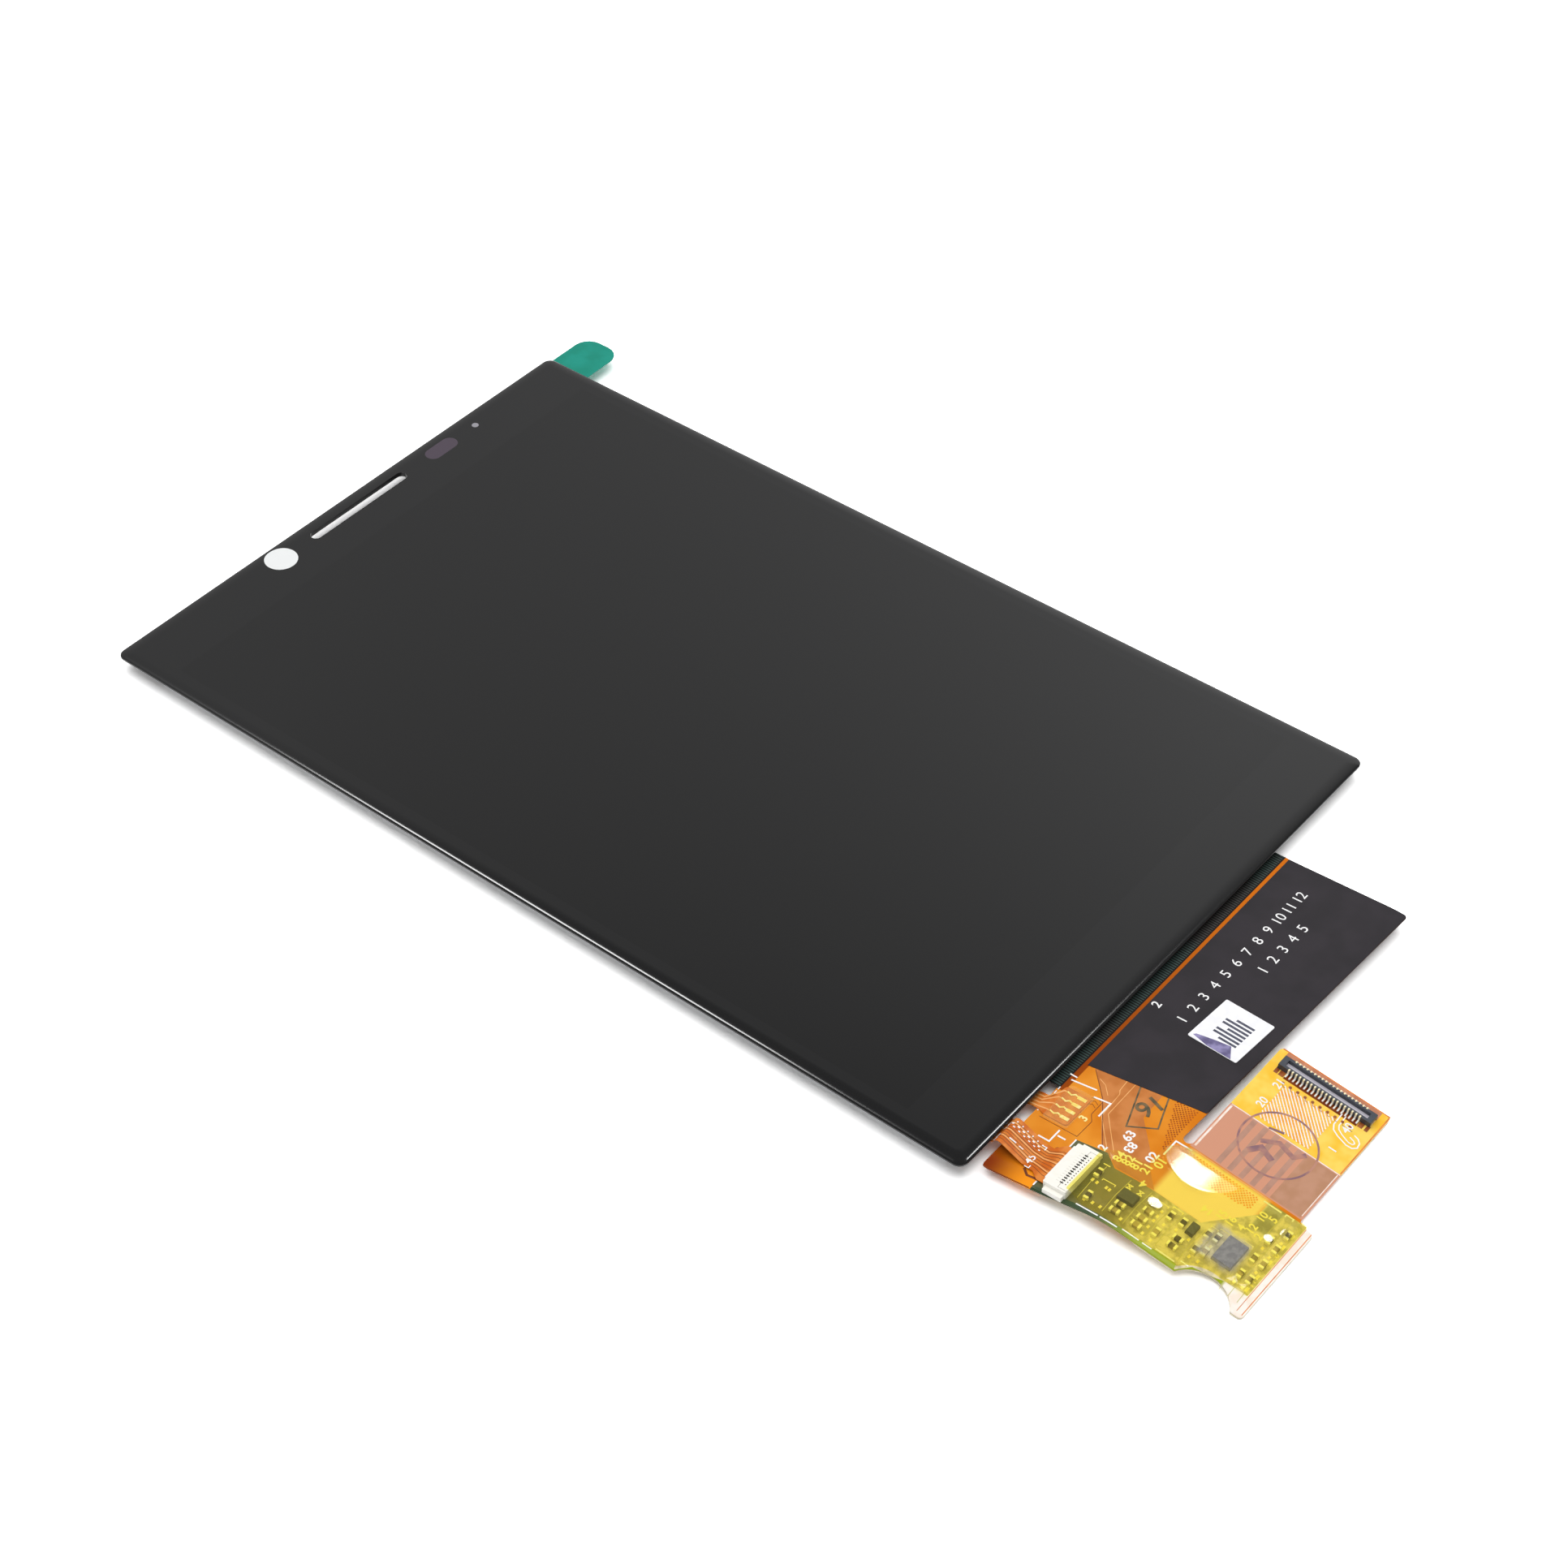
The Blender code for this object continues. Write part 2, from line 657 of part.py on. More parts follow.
def make_cell():
    """Polarizers, colour filter glass and array glass. The array glass has the ledge for driver and flex."""
    panel_sheet(
        "front_polarizer", POLARIZER, FRONT_POLARIZER_Z, FRONT_POLARIZER_THICKNESS, inset=POLARIZER_INSET
    )
    panel_sheet("color_filter_glass", CELL_GLASS, FILTER_GLASS_Z, CELL_GLASS_THICKNESS)
    panel_sheet("array_glass", CELL_GLASS, ARRAY_GLASS_Z, CELL_GLASS_THICKNESS, end=LEDGE_END)
    panel_sheet(
        "rear_polarizer", POLARIZER, REAR_POLARIZER_Z, REAR_POLARIZER_THICKNESS, inset=POLARIZER_INSET
    )
    middle = (CELL_END + FLEX_ROOT) / 2
    edge = rectangle(
        -DRIVER_WIDTH / 2, DRIVER_WIDTH / 2, middle - DRIVER_DEPTH / 2, middle + DRIVER_DEPTH / 2
    )
    node("driver_chip", sheet_mesh([edge], DRIVER_THICKNESS, FLEX_Z), SILICON)


def hook_centres():
    """The places along Y of the frame's hooks and of the windows that they catch in."""
    span = CELL_TOP - LEDGE_END
    return [LEDGE_END + span * (k + 0.5) / HOOKS_PER_SIDE for k in range(HOOKS_PER_SIDE)]


def make_back_plate():
    """The steel tray: a sheet folded up along both long sides, with a window for each hook."""
    top = PLATE_FLANGE_HEIGHT
    wall = PLATE_OUTER
    inner = wall - PLATE_THICKNESS
    bend_in = max(PLATE_FOLD_RADIUS - PLATE_THICKNESS, 0.02)
    section = rounded(
        [
            (-wall, 0, PLATE_FOLD_RADIUS),
            (wall, 0, PLATE_FOLD_RADIUS),
            (wall, top, 0),
            (inner, top, 0),
            (inner, PLATE_THICKNESS, bend_in),
            (-inner, PLATE_THICKNESS, bend_in),
            (-inner, top, 0),
            (-wall, top, 0),
        ]
    )
    length = CELL_TOP - LEDGE_END
    mesh = sheet_mesh([section], length)
    mesh.transform(Matrix.Translation((0, CELL_TOP, 0)) @ Matrix.Rotation(math.radians(90), 4, "X"))
    plate = node("back_plate", mesh, STEEL)
    half = HOOK_LENGTH / 2 + HOOK_CLEARANCE
    low = FRAME_Z + (FRAME_HEIGHT - HOOK_HEIGHT) / 2 - HOOK_CLEARANCE / 2
    high = low + HOOK_HEIGHT + HOOK_CLEARANCE
    reach = wall + PLATE_THICKNESS
    windows = box_mesh([((-reach, y - half, low), (reach, y + half, high)) for y in hook_centres()])
    combine(plate, cutter("hook_window_cutter", windows), "DIFFERENCE")


def led_places():
    """The centre of each LED along X."""
    pitch = 2 * FRAME_INNER_RIGHT / LED_COUNT
    return [-FRAME_INNER_RIGHT + pitch * (k + 0.5) for k in range(LED_COUNT)]


def frame_inner_outline():
    """The inside of the moulded frame: a window for films and light guide, with a pocket for each LED."""
    pocket_half = LED_WIDTH / 2 + LED_CLEARANCE
    pocket_end = LED_BAR_TOP - LED_DEPTH - LED_CLEARANCE
    points = []
    for x in led_places():
        points += [
            (x - pocket_half, LED_BAR_TOP),
            (x - pocket_half, pocket_end),
            (x + pocket_half, pocket_end),
            (x + pocket_half, LED_BAR_TOP),
        ]
    points = [(-FRAME_INNER_RIGHT, LED_BAR_TOP)] + points + [(FRAME_INNER_RIGHT, LED_BAR_TOP)]
    points += [(FRAME_INNER_RIGHT, FRAME_INNER_TOP), (-FRAME_INNER_RIGHT, FRAME_INNER_TOP)]
    return [Vector(point) for point in points]


def make_frame():
    """The moulded frame, with hooks for the back plate and a channel for the LED strip and its tail."""
    edge = rectangle(-FRAME_RIGHT, FRAME_RIGHT, LEDGE_END, CELL_TOP - FRAME_CLEARANCE, PANEL_CORNER)
    mesh = sheet_mesh([edge, frame_inner_outline()], FRAME_HEIGHT, FRAME_Z)
    frame = node("backlight_frame", mesh, FRAME_PLASTIC)
    low = FRAME_Z + (FRAME_HEIGHT - HOOK_HEIGHT) / 2
    reach = FRAME_RIGHT + HOOK_REACH
    root = FRAME_RIGHT - FRAME_WALL / 2
    hooks = []
    for y in hook_centres():
        near, far = y - HOOK_LENGTH / 2, y + HOOK_LENGTH / 2
        hooks.append(((root, near, low), (reach, far, low + HOOK_HEIGHT)))
        hooks.append(((-reach, near, low), (-root, far, low + HOOK_HEIGHT)))
    combine(frame, cutter("hook_adder", box_mesh(hooks)), "UNION")
    top = FRAME_Z + FRAME_HEIGHT + LAYER_GAP
    floor = led_flex_base() - LAYER_GAP
    left, right = led_strip_span()
    near = LEDGE_END + LED_STRIP_MARGIN - LED_CLEARANCE
    strip = ((left - LED_CLEARANCE, near, floor), (right + LED_CLEARANCE, LED_BAR_TOP + CUT_OVERRUN, top))
    tail_half = LED_TAIL_WIDTH / 2 + LED_CLEARANCE
    tail_low = (LED_TAIL_X - tail_half, LEDGE_END - CUT_OVERRUN, floor)
    tail = (tail_low, (LED_TAIL_X + tail_half, LED_BAR_TOP, top))
    combine(frame, cutter("strip_channel_cutter", box_mesh([strip])), "DIFFERENCE")
    combine(frame, cutter("tail_channel_cutter", box_mesh([tail])), "DIFFERENCE")


def led_flex_base():
    """The height of the underside of the LED strip, which lies on top of the LEDs."""
    return GUIDE_Z + LED_HEIGHT


def led_strip_span():
    places = led_places()
    margin = LED_WIDTH / 2 + LED_END_MARGIN
    return places[0] - margin, places[-1] + margin


def led_course():
    """The LED strip's tail: level in the frame, up to the main flex beyond its edge, and along it."""
    level = LEDGE_END - LED_TAIL_LEVEL
    landing = level - LED_TAIL_CLIMB
    target = FLEX_Z + FLEX_THICKNESS + SOLDER_GAP

    def climb(angle):
        straight = LED_TAIL_CLIMB - 2 * LED_TAIL_BEND
        return [(LED_TAIL_BEND, angle), (straight, 0.0), (LED_TAIL_BEND, -angle)]

    def height_error(angle):
        return Course(level, led_flex_base(), climb(angle)).at(landing)[1] - target

    legs = climb(solve(height_error, 0.0, 60.0))
    legs.append((landing - out(FLEX_RISE_OUT), 0.0))
    legs.append((FLEX_BEND_RADIUS * math.radians(FLEX_RISE_ANGLE), FLEX_RISE_ANGLE))
    return Course(level, led_flex_base(), legs)


def make_led_strip():
    """The LED strip: a flex over the LEDs whose tail ends in a wider pad area on the main flex."""
    left, right = led_strip_span()
    half = LED_TAIL_WIDTH / 2
    pad_half = LED_PAD_WIDTH / 2
    start, end = out(LED_PAD_START_OUT), out(LED_PAD_END_OUT)
    left_end = LEDGE_END + LED_STRIP_MARGIN
    right_end = LEDGE_END + LED_STRIP_RIGHT_MARGIN
    edge = rounded(
        [
            (left, LED_BAR_TOP - LED_STRIP_INSET, TAIL_CORNER),
            (left, left_end, TAIL_CORNER),
            (LED_TAIL_X - half, left_end, TAIL_CORNER),
            (LED_TAIL_X - half, start, 0.0),
            (LED_PAD_X - pad_half, start - LED_PAD_SHOULDER, 0.0),
            (LED_PAD_X - pad_half, end, FILM_CORNER),
            (LED_PAD_X + pad_half, end, FILM_CORNER),
            (LED_PAD_X + pad_half, start - LED_PAD_SHOULDER, TAIL_CORNER),
            (LED_TAIL_X + half, start, TAIL_CORNER),
            (LED_TAIL_X + half, right_end, TAIL_CORNER),
            (right, right_end, TAIL_CORNER),
            (right, LED_BAR_TOP - LED_STRIP_INSET, TAIL_CORNER),
        ]
    )
    mesh = bend(sheet_mesh([edge], LED_FLEX_THICKNESS), led_course())
    strip = node("led_strip", mesh, TAIL_FILM)
    top = led_flex_base() + LED_FLEX_THICKNESS / 2
    back = LED_BAR_TOP - LED_DEPTH
    half = LED_WIDTH / 2
    lamps = [((x - half, back, GUIDE_Z), (x + half, LED_BAR_TOP, top)) for x in led_places()]
    combine(strip, cutter("led_adder", box_mesh(lamps)), "UNION")


def film(name, look, base, thickness, steps):
    """A layer inside the moulded frame. Each one up the stack is a little smaller than the last."""
    inset = FRAME_CLEARANCE + steps * FILM_STEP
    edge = rectangle(
        -FRAME_INNER_RIGHT + inset,
        FRAME_INNER_RIGHT - inset,
        LED_BAR_TOP + inset,
        FRAME_INNER_TOP - inset,
        FILM_CORNER,
    )
    node(name, sheet_mesh([edge], thickness, base), look)


def make_optics():
    film("reflector_film", REFLECTOR, REFLECTOR_Z, REFLECTOR_THICKNESS, 0)
    film("light_guide", GUIDE, GUIDE_Z, GUIDE_THICKNESS, 0)
    film("diffuser_film", PRISM_FILM, DIFFUSER_Z, FILM_THICKNESS, 1)
    film("lower_prism_film", PRISM_FILM, LOWER_PRISM_Z, FILM_THICKNESS, 2)
    film("upper_prism_film", PRISM_FILM, UPPER_PRISM_Z, FILM_THICKNESS, 3)


def make_rim_tape():
    """The ring of double-sided tape that holds the LCD cell on the backlight unit."""
    foot, top = LEDGE_END + RIM_TAPE_INSET, CELL_TOP - FRAME_CLEARANCE
    outer = rectangle(-FRAME_RIGHT, FRAME_RIGHT, foot, top, PANEL_CORNER)
    inner = rectangle(
        -FRAME_RIGHT + RIM_TAPE_WIDTH,
        FRAME_RIGHT - RIM_TAPE_WIDTH,
        CELL_END,
        top - RIM_TAPE_WIDTH,
        PANEL_CORNER,
    )
    node("rim_tape", sheet_mesh([outer, inner], RIM_TAPE_THICKNESS, RIM_TAPE_Z), RIM_TAPE)


def relief_arc(radius, left_top, left_foot):
    """The round relief in the board's left edge, from its upper to its lower meeting with the edge."""
    centre = Vector((RELIEF_X, out(RELIEF_OUT)))
    first = math.acos((left_top - RELIEF_X) / radius)
    last = -math.acos((left_foot - RELIEF_X) / radius)
    steps = 14
    angles = [first + (last - first) * k / steps for k in range(steps + 1)]
    return [(centre.x + radius * math.cos(a), centre.y + radius * math.sin(a), 0.0) for a in angles]


def slot_outline():
    """The rounded inner end of the slot between the wide field and the branch, as corners."""
    top, foot = out(SLOT_TOP_OUT), out(SLOT_TOP_OUT + SLOT_WIDTH)
    radius = SLOT_WIDTH * 0.48
    return [(SLOT_END_X, top, radius), (SLOT_END_X, foot, radius)]


def flex_outline():
    return rounded(
        [
            (TONGUE_LEFT, FLEX_ROOT, FLEX_CORNER),
            (TONGUE_LEFT, out(EAR_OUT), FLEX_INNER_CORNER),
            (EAR_LEFT, out(EAR_OUT), FLEX_CORNER),
            (EAR_WAIST_X, out(EAR_WAIST_OUT), 0.0),
            (BOARD_LEFT, out(BOARD_START_OUT), 0.0),
        ]
        + relief_arc(RELIEF_RADIUS, BOARD_LEFT, BOARD_FOOT_LEFT)
        + [
            (BOARD_FOOT_LEFT, out(BOARD_FOOT_OUT), FLEX_CORNER),
            (BOARD_FOOT_RIGHT, out(BOARD_FOOT_OUT), FLEX_CORNER),
            (BOARD_RIGHT, out(BRANCH_FOOT_OUT), 0.0),
            (BRANCH_RIGHT, out(BRANCH_FOOT_OUT), FLEX_CORNER),
            (BRANCH_RIGHT, out(SLOT_TOP_OUT + SLOT_WIDTH), FLEX_CORNER),
        ]
        + slot_outline()[::-1]
        + [
            (TONGUE_RIGHT, out(FIELD_END_OUT), FLEX_CORNER),
            (TONGUE_RIGHT, FLEX_ROOT, FLEX_CORNER),
        ]
    )


def field_foot(x):
    """How far out the lower edge of the wide field lies at x, from the slot's end to its far corner."""
    share = (x - SLOT_END_X) / (TONGUE_RIGHT - SLOT_END_X)
    return SLOT_TOP_OUT + share * (FIELD_END_OUT - SLOT_TOP_OUT)


def make_main_flex():
    """The main flex with its ear, component board, round relief, slot and branch, bent along its course."""
    node("main_flex", bend(sheet_mesh([flex_outline()], FLEX_THICKNESS), FLEX), FLEX_FILM)


def make_shield_film():
    """The black film over the wide field of the main flex."""
    edge = rounded(
        [
            (SHIELD_LEFT_TOP, out(SHIELD_TOP_OUT), 0.0),
            (SHIELD_LEFT_FOOT, out(field_foot(SHIELD_LEFT_FOOT) - SHIELD_INSET), 0.0),
            (TONGUE_RIGHT - SHIELD_INSET, out(field_foot(TONGUE_RIGHT) - SHIELD_INSET), FLEX_CORNER),
            (TONGUE_RIGHT - SHIELD_INSET, out(SHIELD_TOP_OUT), 0.0),
        ]
    )
    mesh = sheet_mesh([edge], SHIELD_THICKNESS, FLEX_THICKNESS + BOND_GAP)
    node("shield_film", bend(mesh, FLEX), SHIELD)


def stiffener(name, edge):
    """A plate bonded under the main flex."""
    mesh = sheet_mesh([edge], STIFFENER_THICKNESS, -BOND_GAP - STIFFENER_THICKNESS)
    node(name, bend(mesh, FLEX), STIFFENER)


def make_stiffeners():
    near, far = ZIF_STIFFENER_OUT
    left = EAR_WAIST_X + ZIF_STIFFENER_INSET
    edge = rectangle(left, left + ZIF_STIFFENER_WIDTH, out(far), out(near), FLEX_CORNER)
    stiffener("zif_stiffener", edge)
    board = rounded(
        [(BOARD_RIGHT, out(BOARD_STIFFENER_OUT), 0.0), (BOARD_LEFT, out(BOARD_STIFFENER_OUT), 0.0)]
        + relief_arc(RELIEF_RADIUS, BOARD_LEFT, BOARD_FOOT_LEFT)
        + [
            (BOARD_FOOT_LEFT, out(BOARD_FOOT_OUT), FLEX_CORNER),
            (BOARD_FOOT_RIGHT, out(BOARD_FOOT_OUT), FLEX_CORNER),
            (BOARD_RIGHT, out(BRANCH_FOOT_OUT), 0.0),
        ]
    )
    stiffener("board_stiffener", board)
    plug = rectangle(
        PLUG_STIFFENER_LEFT,
        BRANCH_RIGHT,
        out(BRANCH_FOOT_OUT),
        out(SLOT_TOP_OUT + SLOT_WIDTH),
        FLEX_CORNER,
    )
    stiffener("plug_stiffener", plug)


def make_label():
    edge = rectangle(-LABEL_WIDTH / 2, LABEL_WIDTH / 2, -LABEL_HEIGHT / 2, LABEL_HEIGHT / 2, LABEL_CORNER)
    height = FLEX_THICKNESS + BOND_GAP + SHIELD_THICKNESS + BOND_GAP
    place = FLEX.place(LABEL_X, out(LABEL_OUT), height, LABEL_TURN)
    node("code_label", sheet_mesh([edge], LABEL_THICKNESS), LABEL_PAPER, place)


def make_plug():
    """The board connector: a wall round its mating slot, with a row of contacts over each long wall."""
    half_width, half_length = PLUG_WIDTH / 2, PLUG_LENGTH / 2
    body = box_mesh([((-half_width, -half_length, 0), (half_width, half_length, PLUG_HEIGHT))])
    place = FLEX.place(PLUG_X, out(PLUG_OUT), FLEX_THICKNESS + SOLDER_GAP)
    plug = node("board_connector", body, PLUG_PLASTIC, place)
    slot_half = half_width - PLUG_WALL
    slot_end = half_length - PLUG_END_WALL
    slot = box_mesh([((-slot_half, -slot_end, PLUG_FLOOR), (slot_half, slot_end, 2 * PLUG_HEIGHT))])
    first = -(CONTACTS_PER_SIDE - 1) * CONTACT_PITCH / 2
    crown = PLUG_HEIGHT + CONTACT_THICKNESS / 2
    contacts = []
    for k in range(CONTACTS_PER_SIDE):
        low = first + k * CONTACT_PITCH - CONTACT_WIDTH / 2
        high = low + CONTACT_WIDTH
        for side in (-1, 1):
            tail = sorted((side * (half_width - PLUG_WALL / 2), side * (half_width + CONTACT_REACH)))
            arm = sorted((side * (half_width - CONTACT_LAP), side * (half_width + CONTACT_THICKNESS)))
            contacts.append(((tail[0], low, 0), (tail[1], high, CONTACT_THICKNESS)))
            contacts.append(((arm[0], low, CONTACT_THICKNESS / 2), (arm[1], high, crown)))
    combine(plug, cutter("plug_slot_cutter", slot, place), "DIFFERENCE")
    combine(plug, cutter("plug_contact_adder", box_mesh(contacts), place), "UNION")


def zif_section():
    """Outline of the insertion connector's body, with a notch at each end of its front edge."""
    half_width, half_depth = ZIF_WIDTH / 2, ZIF_DEPTH / 2
    step = half_width - ZIF_WING
    return rounded(
        [
            (-step, half_depth, 0.0),
            (-step, half_depth - ZIF_NOTCH, 0.0),
            (-half_width, half_depth - ZIF_NOTCH, ZIF_CORNER),
            (-half_width, -half_depth, ZIF_CORNER),
            (half_width, -half_depth, ZIF_CORNER),
            (half_width, half_depth - ZIF_NOTCH, ZIF_CORNER),
            (step, half_depth - ZIF_NOTCH, 0.0),
            (step, half_depth, 0.0),
        ]
    )


def zif_row(low, high, base, top, width=ZIF_CONTACT_WIDTH):
    """A row of boxes at the pitch of the connector's contacts."""
    first = -(ZIF_CONTACTS - 1) * ZIF_PITCH / 2
    centres = [first + k * ZIF_PITCH for k in range(ZIF_CONTACTS)]
    return box_mesh([((x - width / 2, low, base), (x + width / 2, high, top)) for x in centres])


def make_zif():
    """The insertion connector: its housing takes the touch tail in a mouth, under a lock at the back."""
    half_width, half_depth = ZIF_WIDTH / 2, ZIF_DEPTH / 2
    place = FLEX.place(ZIF_X, out(ZIF_OUT), FLEX_THICKNESS + SOLDER_GAP)
    housing = node("zif_housing", sheet_mesh([zif_section()], ZIF_HEIGHT), ZIF_PLASTIC, place)
    wing_low, wing_high = -half_depth + ZIF_NOTCH, half_depth - ZIF_WING_SETBACK
    wings = box_mesh(
        [((-half_width - ZIF_WING, wing_low, 0), (half_width + ZIF_WING, wing_high, ZIF_WING_HEIGHT))]
    )
    tails = zif_row(half_depth - ZIF_CONTACT_ROOT, half_depth + ZIF_CONTACT_REACH, 0, CONTACT_THICKNESS)
    mouth_half = ZIF_MOUTH_WIDTH / 2
    mouth_top = ZIF_MOUTH_BASE + ZIF_MOUTH_HEIGHT
    mouth_low = (-mouth_half, half_depth - ZIF_MOUTH_DEPTH, ZIF_MOUTH_BASE)
    mouth = box_mesh([(mouth_low, (mouth_half, half_depth + CUT_OVERRUN, mouth_top))])
    lock_front = -half_depth + ZIF_LOCK_DEPTH
    lock_base = ZIF_HEIGHT - ZIF_LOCK_THICKNESS
    seat_low = (-mouth_half, -half_depth - CUT_OVERRUN, lock_base - ZIF_LOCK_CLEARANCE)
    seat = box_mesh([(seat_low, (mouth_half, lock_front, ZIF_HEIGHT + CUT_OVERRUN))])
    reach = ZIF_SLIT_DEPTH / 2
    slit_foot = mouth_top - ZIF_SLIT_LAP
    slits = zif_row(lock_front - reach, lock_front + reach, slit_foot, ZIF_HEIGHT + CUT_OVERRUN)
    combine(housing, cutter("zif_wing_adder", wings, place), "UNION")
    combine(housing, cutter("zif_tail_adder", tails, place), "UNION")
    combine(housing, cutter("zif_mouth_cutter", mouth, place), "DIFFERENCE")
    combine(housing, cutter("zif_lock_cutter", seat, place), "DIFFERENCE")
    slit_cutter = cutter("zif_slit_cutter", slits, place)
    combine(housing, slit_cutter, "DIFFERENCE")
    clearance = ZIF_LOCK_CLEARANCE
    lever = rectangle(
        -mouth_half + clearance, mouth_half - clearance, -half_depth, lock_front - clearance, ZIF_CORNER
    )
    lock = node("zif_lock", sheet_mesh([lever], ZIF_LOCK_THICKNESS, lock_base), ZIF_PLASTIC, place)
    combine(lock, slit_cutter, "DIFFERENCE")
    dot_low = -half_depth + ZIF_DOT_INSET
    dots = zif_row(dot_low, dot_low + ZIF_DOT, ZIF_HEIGHT - ZIF_DOT, ZIF_HEIGHT + CUT_OVERRUN, ZIF_DOT)
    combine(lock, cutter("zif_dot_cutter", dots, place), "DIFFERENCE")


def zif_mouth():
    """The flat coordinate of the connector's mouth."""
    return out(ZIF_OUT) + ZIF_DEPTH / 2


def flat_coordinate(course, y):
    """The coordinate along a course of the point that lies at a given y."""
    return solve(lambda v: course.at(v)[0] - y, y - 3, y)


def touch_course():
    """The touch tail: out under the glass, over a hump, down to the main flex and level with the mouth."""
    start = CELL_END - POLARIZER_INSET
    base = SENSOR_FILM_Z - LAYER_GAP - TAIL_THICKNESS
    lift = FLEX_THICKNESS + SOLDER_GAP + ZIF_MOUTH_BASE + TOUCH_HEAD_GAP
    mouth_y, mouth_z, slope = FLEX.at(zif_mouth())
    target = mouth_z + lift * math.cos(slope)
    rise = math.radians(TOUCH_RISE_ANGLE)

    def legs(fall):
        return [
            (start - GLASS_END - TOUCH_BEND_START, 0.0),
            (TOUCH_BEND_RADIUS * rise, TOUCH_RISE_ANGLE),
            (TOUCH_RISE_LENGTH, 0.0),
            (TOUCH_BEND_RADIUS * (rise + math.radians(fall)), -TOUCH_RISE_ANGLE - fall),
            (TOUCH_FALL_LENGTH, 0.0),
            (TOUCH_BEND_RADIUS * (math.radians(fall) + slope), fall + math.degrees(slope)),
        ]

    def height_error(rise_not_fall):
        course = Course(start, base, legs(-rise_not_fall))
        return course.at(flat_coordinate(course, mouth_y))[1] - target

    return Course(start, base, legs(-solve(height_error, -60.0, 0.0)))


def make_touch_tail():
    """The tail of the touch sensor, bonded under the sensor's lower edge, with a wider head in the mouth."""
    course = touch_course()
    mouth = flat_coordinate(course, FLEX.at(zif_mouth())[0])
    half = TOUCH_TAIL_WIDTH / 2
    head_half = TOUCH_HEAD_WIDTH / 2
    end_x = TOUCH_TAIL_X + TOUCH_TAIL_SHIFT
    root = CELL_END + TOUCH_TAIL_BOND
    neck = mouth + 2 * TOUCH_HEAD_SHOULDER
    shoulder = mouth + TOUCH_HEAD_SHOULDER
    tip = mouth - TOUCH_HEAD_DEPTH
    edge = rounded(
        [
            (TOUCH_TAIL_X - half, root, TAIL_CORNER),
            (TOUCH_TAIL_X - half, GLASS_END, 0.0),
            (end_x - half, neck, 0.0),
            (ZIF_X - head_half, shoulder, TAIL_CORNER),
            (ZIF_X - head_half, tip, TOUCH_HEAD_CORNER),
            (ZIF_X + head_half, tip, TOUCH_HEAD_CORNER),
            (ZIF_X + head_half, shoulder, TAIL_CORNER),
            (end_x + half, neck, 0.0),
            (TOUCH_TAIL_X + half, GLASS_END, 0.0),
            (TOUCH_TAIL_X + half, root, TAIL_CORNER),
        ]
    )
    node("touch_tail", bend(sheet_mesh([edge], TAIL_THICKNESS), course), TAIL_FILM)


def chip_rings(length, width, height, cap, step):
    """Cross-sections along a chip whose ends are capped with metal a little proud of the ceramic."""
    half = length / 2
    neck = half - cap
    stations = [(-half, 0.0), (-neck, 0.0), (-neck, step), (neck, step), (neck, 0.0), (half, 0.0)]
    rings = []
    for x, inset in stations:
        side, low, high = width / 2 - inset, inset, height - inset
        rings.append([(x, -side, low), (x, side, low), (x, side, high), (x, -side, high)])
    return rings


def make_chip(name, x, distance, turn=0.0):
    mesh = loft_mesh(chip_rings(CHIP_LENGTH, CHIP_WIDTH, CHIP_HEIGHT, CHIP_END, CHIP_END_STEP))
    place = FLEX.place(x, out(distance), FLEX_THICKNESS + SOLDER_GAP, turn)
    node(name, mesh, CHIP_CERAMIC, place)


def make_package(name, x, distance, size):
    """A moulded package with a flat top and sides that taper with the mould's draft."""
    width, depth, height = size
    rings = []
    for z, inset in ((0.0, 0.0), (height * PACKAGE_PARTING, 0.0), (height, PACKAGE_DRAFT)):
        side, end = width / 2 - inset, depth / 2 - inset
        rings.append([(-side, -end, z), (side, -end, z), (side, end, z), (-side, end, z)])
    place = FLEX.place(x, out(distance), FLEX_THICKNESS + SOLDER_GAP)
    node(name, loft_mesh(rings), PACKAGE, place)


UPRIGHT = 90.0
CHIPS = [
    (-29.3, 13.1, UPRIGHT),
    (-28.45, 13.1, UPRIGHT),
    (-29.35, 15.35, UPRIGHT),
    (-28.45, 15.35, UPRIGHT),
    (-27.45, 15.35, UPRIGHT),
    (-26.4, 15.35, UPRIGHT),
    (-28.8, 17.1, 0.0),
    (-26.5, 17.1, 0.0),
    (-29.0, 18.9, UPRIGHT),
    (-28.05, 18.9, UPRIGHT),
    (-26.35, 18.3, 0.0),
    (-27.9, 20.6, 0.0),
    (-25.85, 20.6, 0.0),
    (-27.35, 24.95, 0.0),
    (-25.2, 24.95, 0.0),
    (-22.7, 24.95, 0.0),
    (-27.35, 25.9, 0.0),
    (-25.2, 25.9, 0.0),
    (-23.15, 25.9, 0.0),
    (-21.2, 25.9, 0.0),
    (-26.55, 9.55, 0.0),
    (-29.25, 10.3, 0.0),
    (-27.6, 21.4, 0.0),
    (-25.65, 21.4, 0.0),
]


def make_components():
    for number, (x, distance, turn) in enumerate(CHIPS, start=1):
        make_chip(f"chip_{number}", x, distance, turn)
    make_package("memory_chip", -26.2, 23.1, MEMORY_SIZE)
    make_package("diode_array", -27.35, 13.2, DIODE_SIZE)
    make_package("load_switch", -26.35, 19.3, SWITCH_SIZE)


def smooth_share(value, span):
    """How far a value has come from 0 to its span, from 0 to 1, with a soft start and end."""
    share = min(max(value / span, 0.0), 1.0)
    return share * share * (3 - 2 * share)


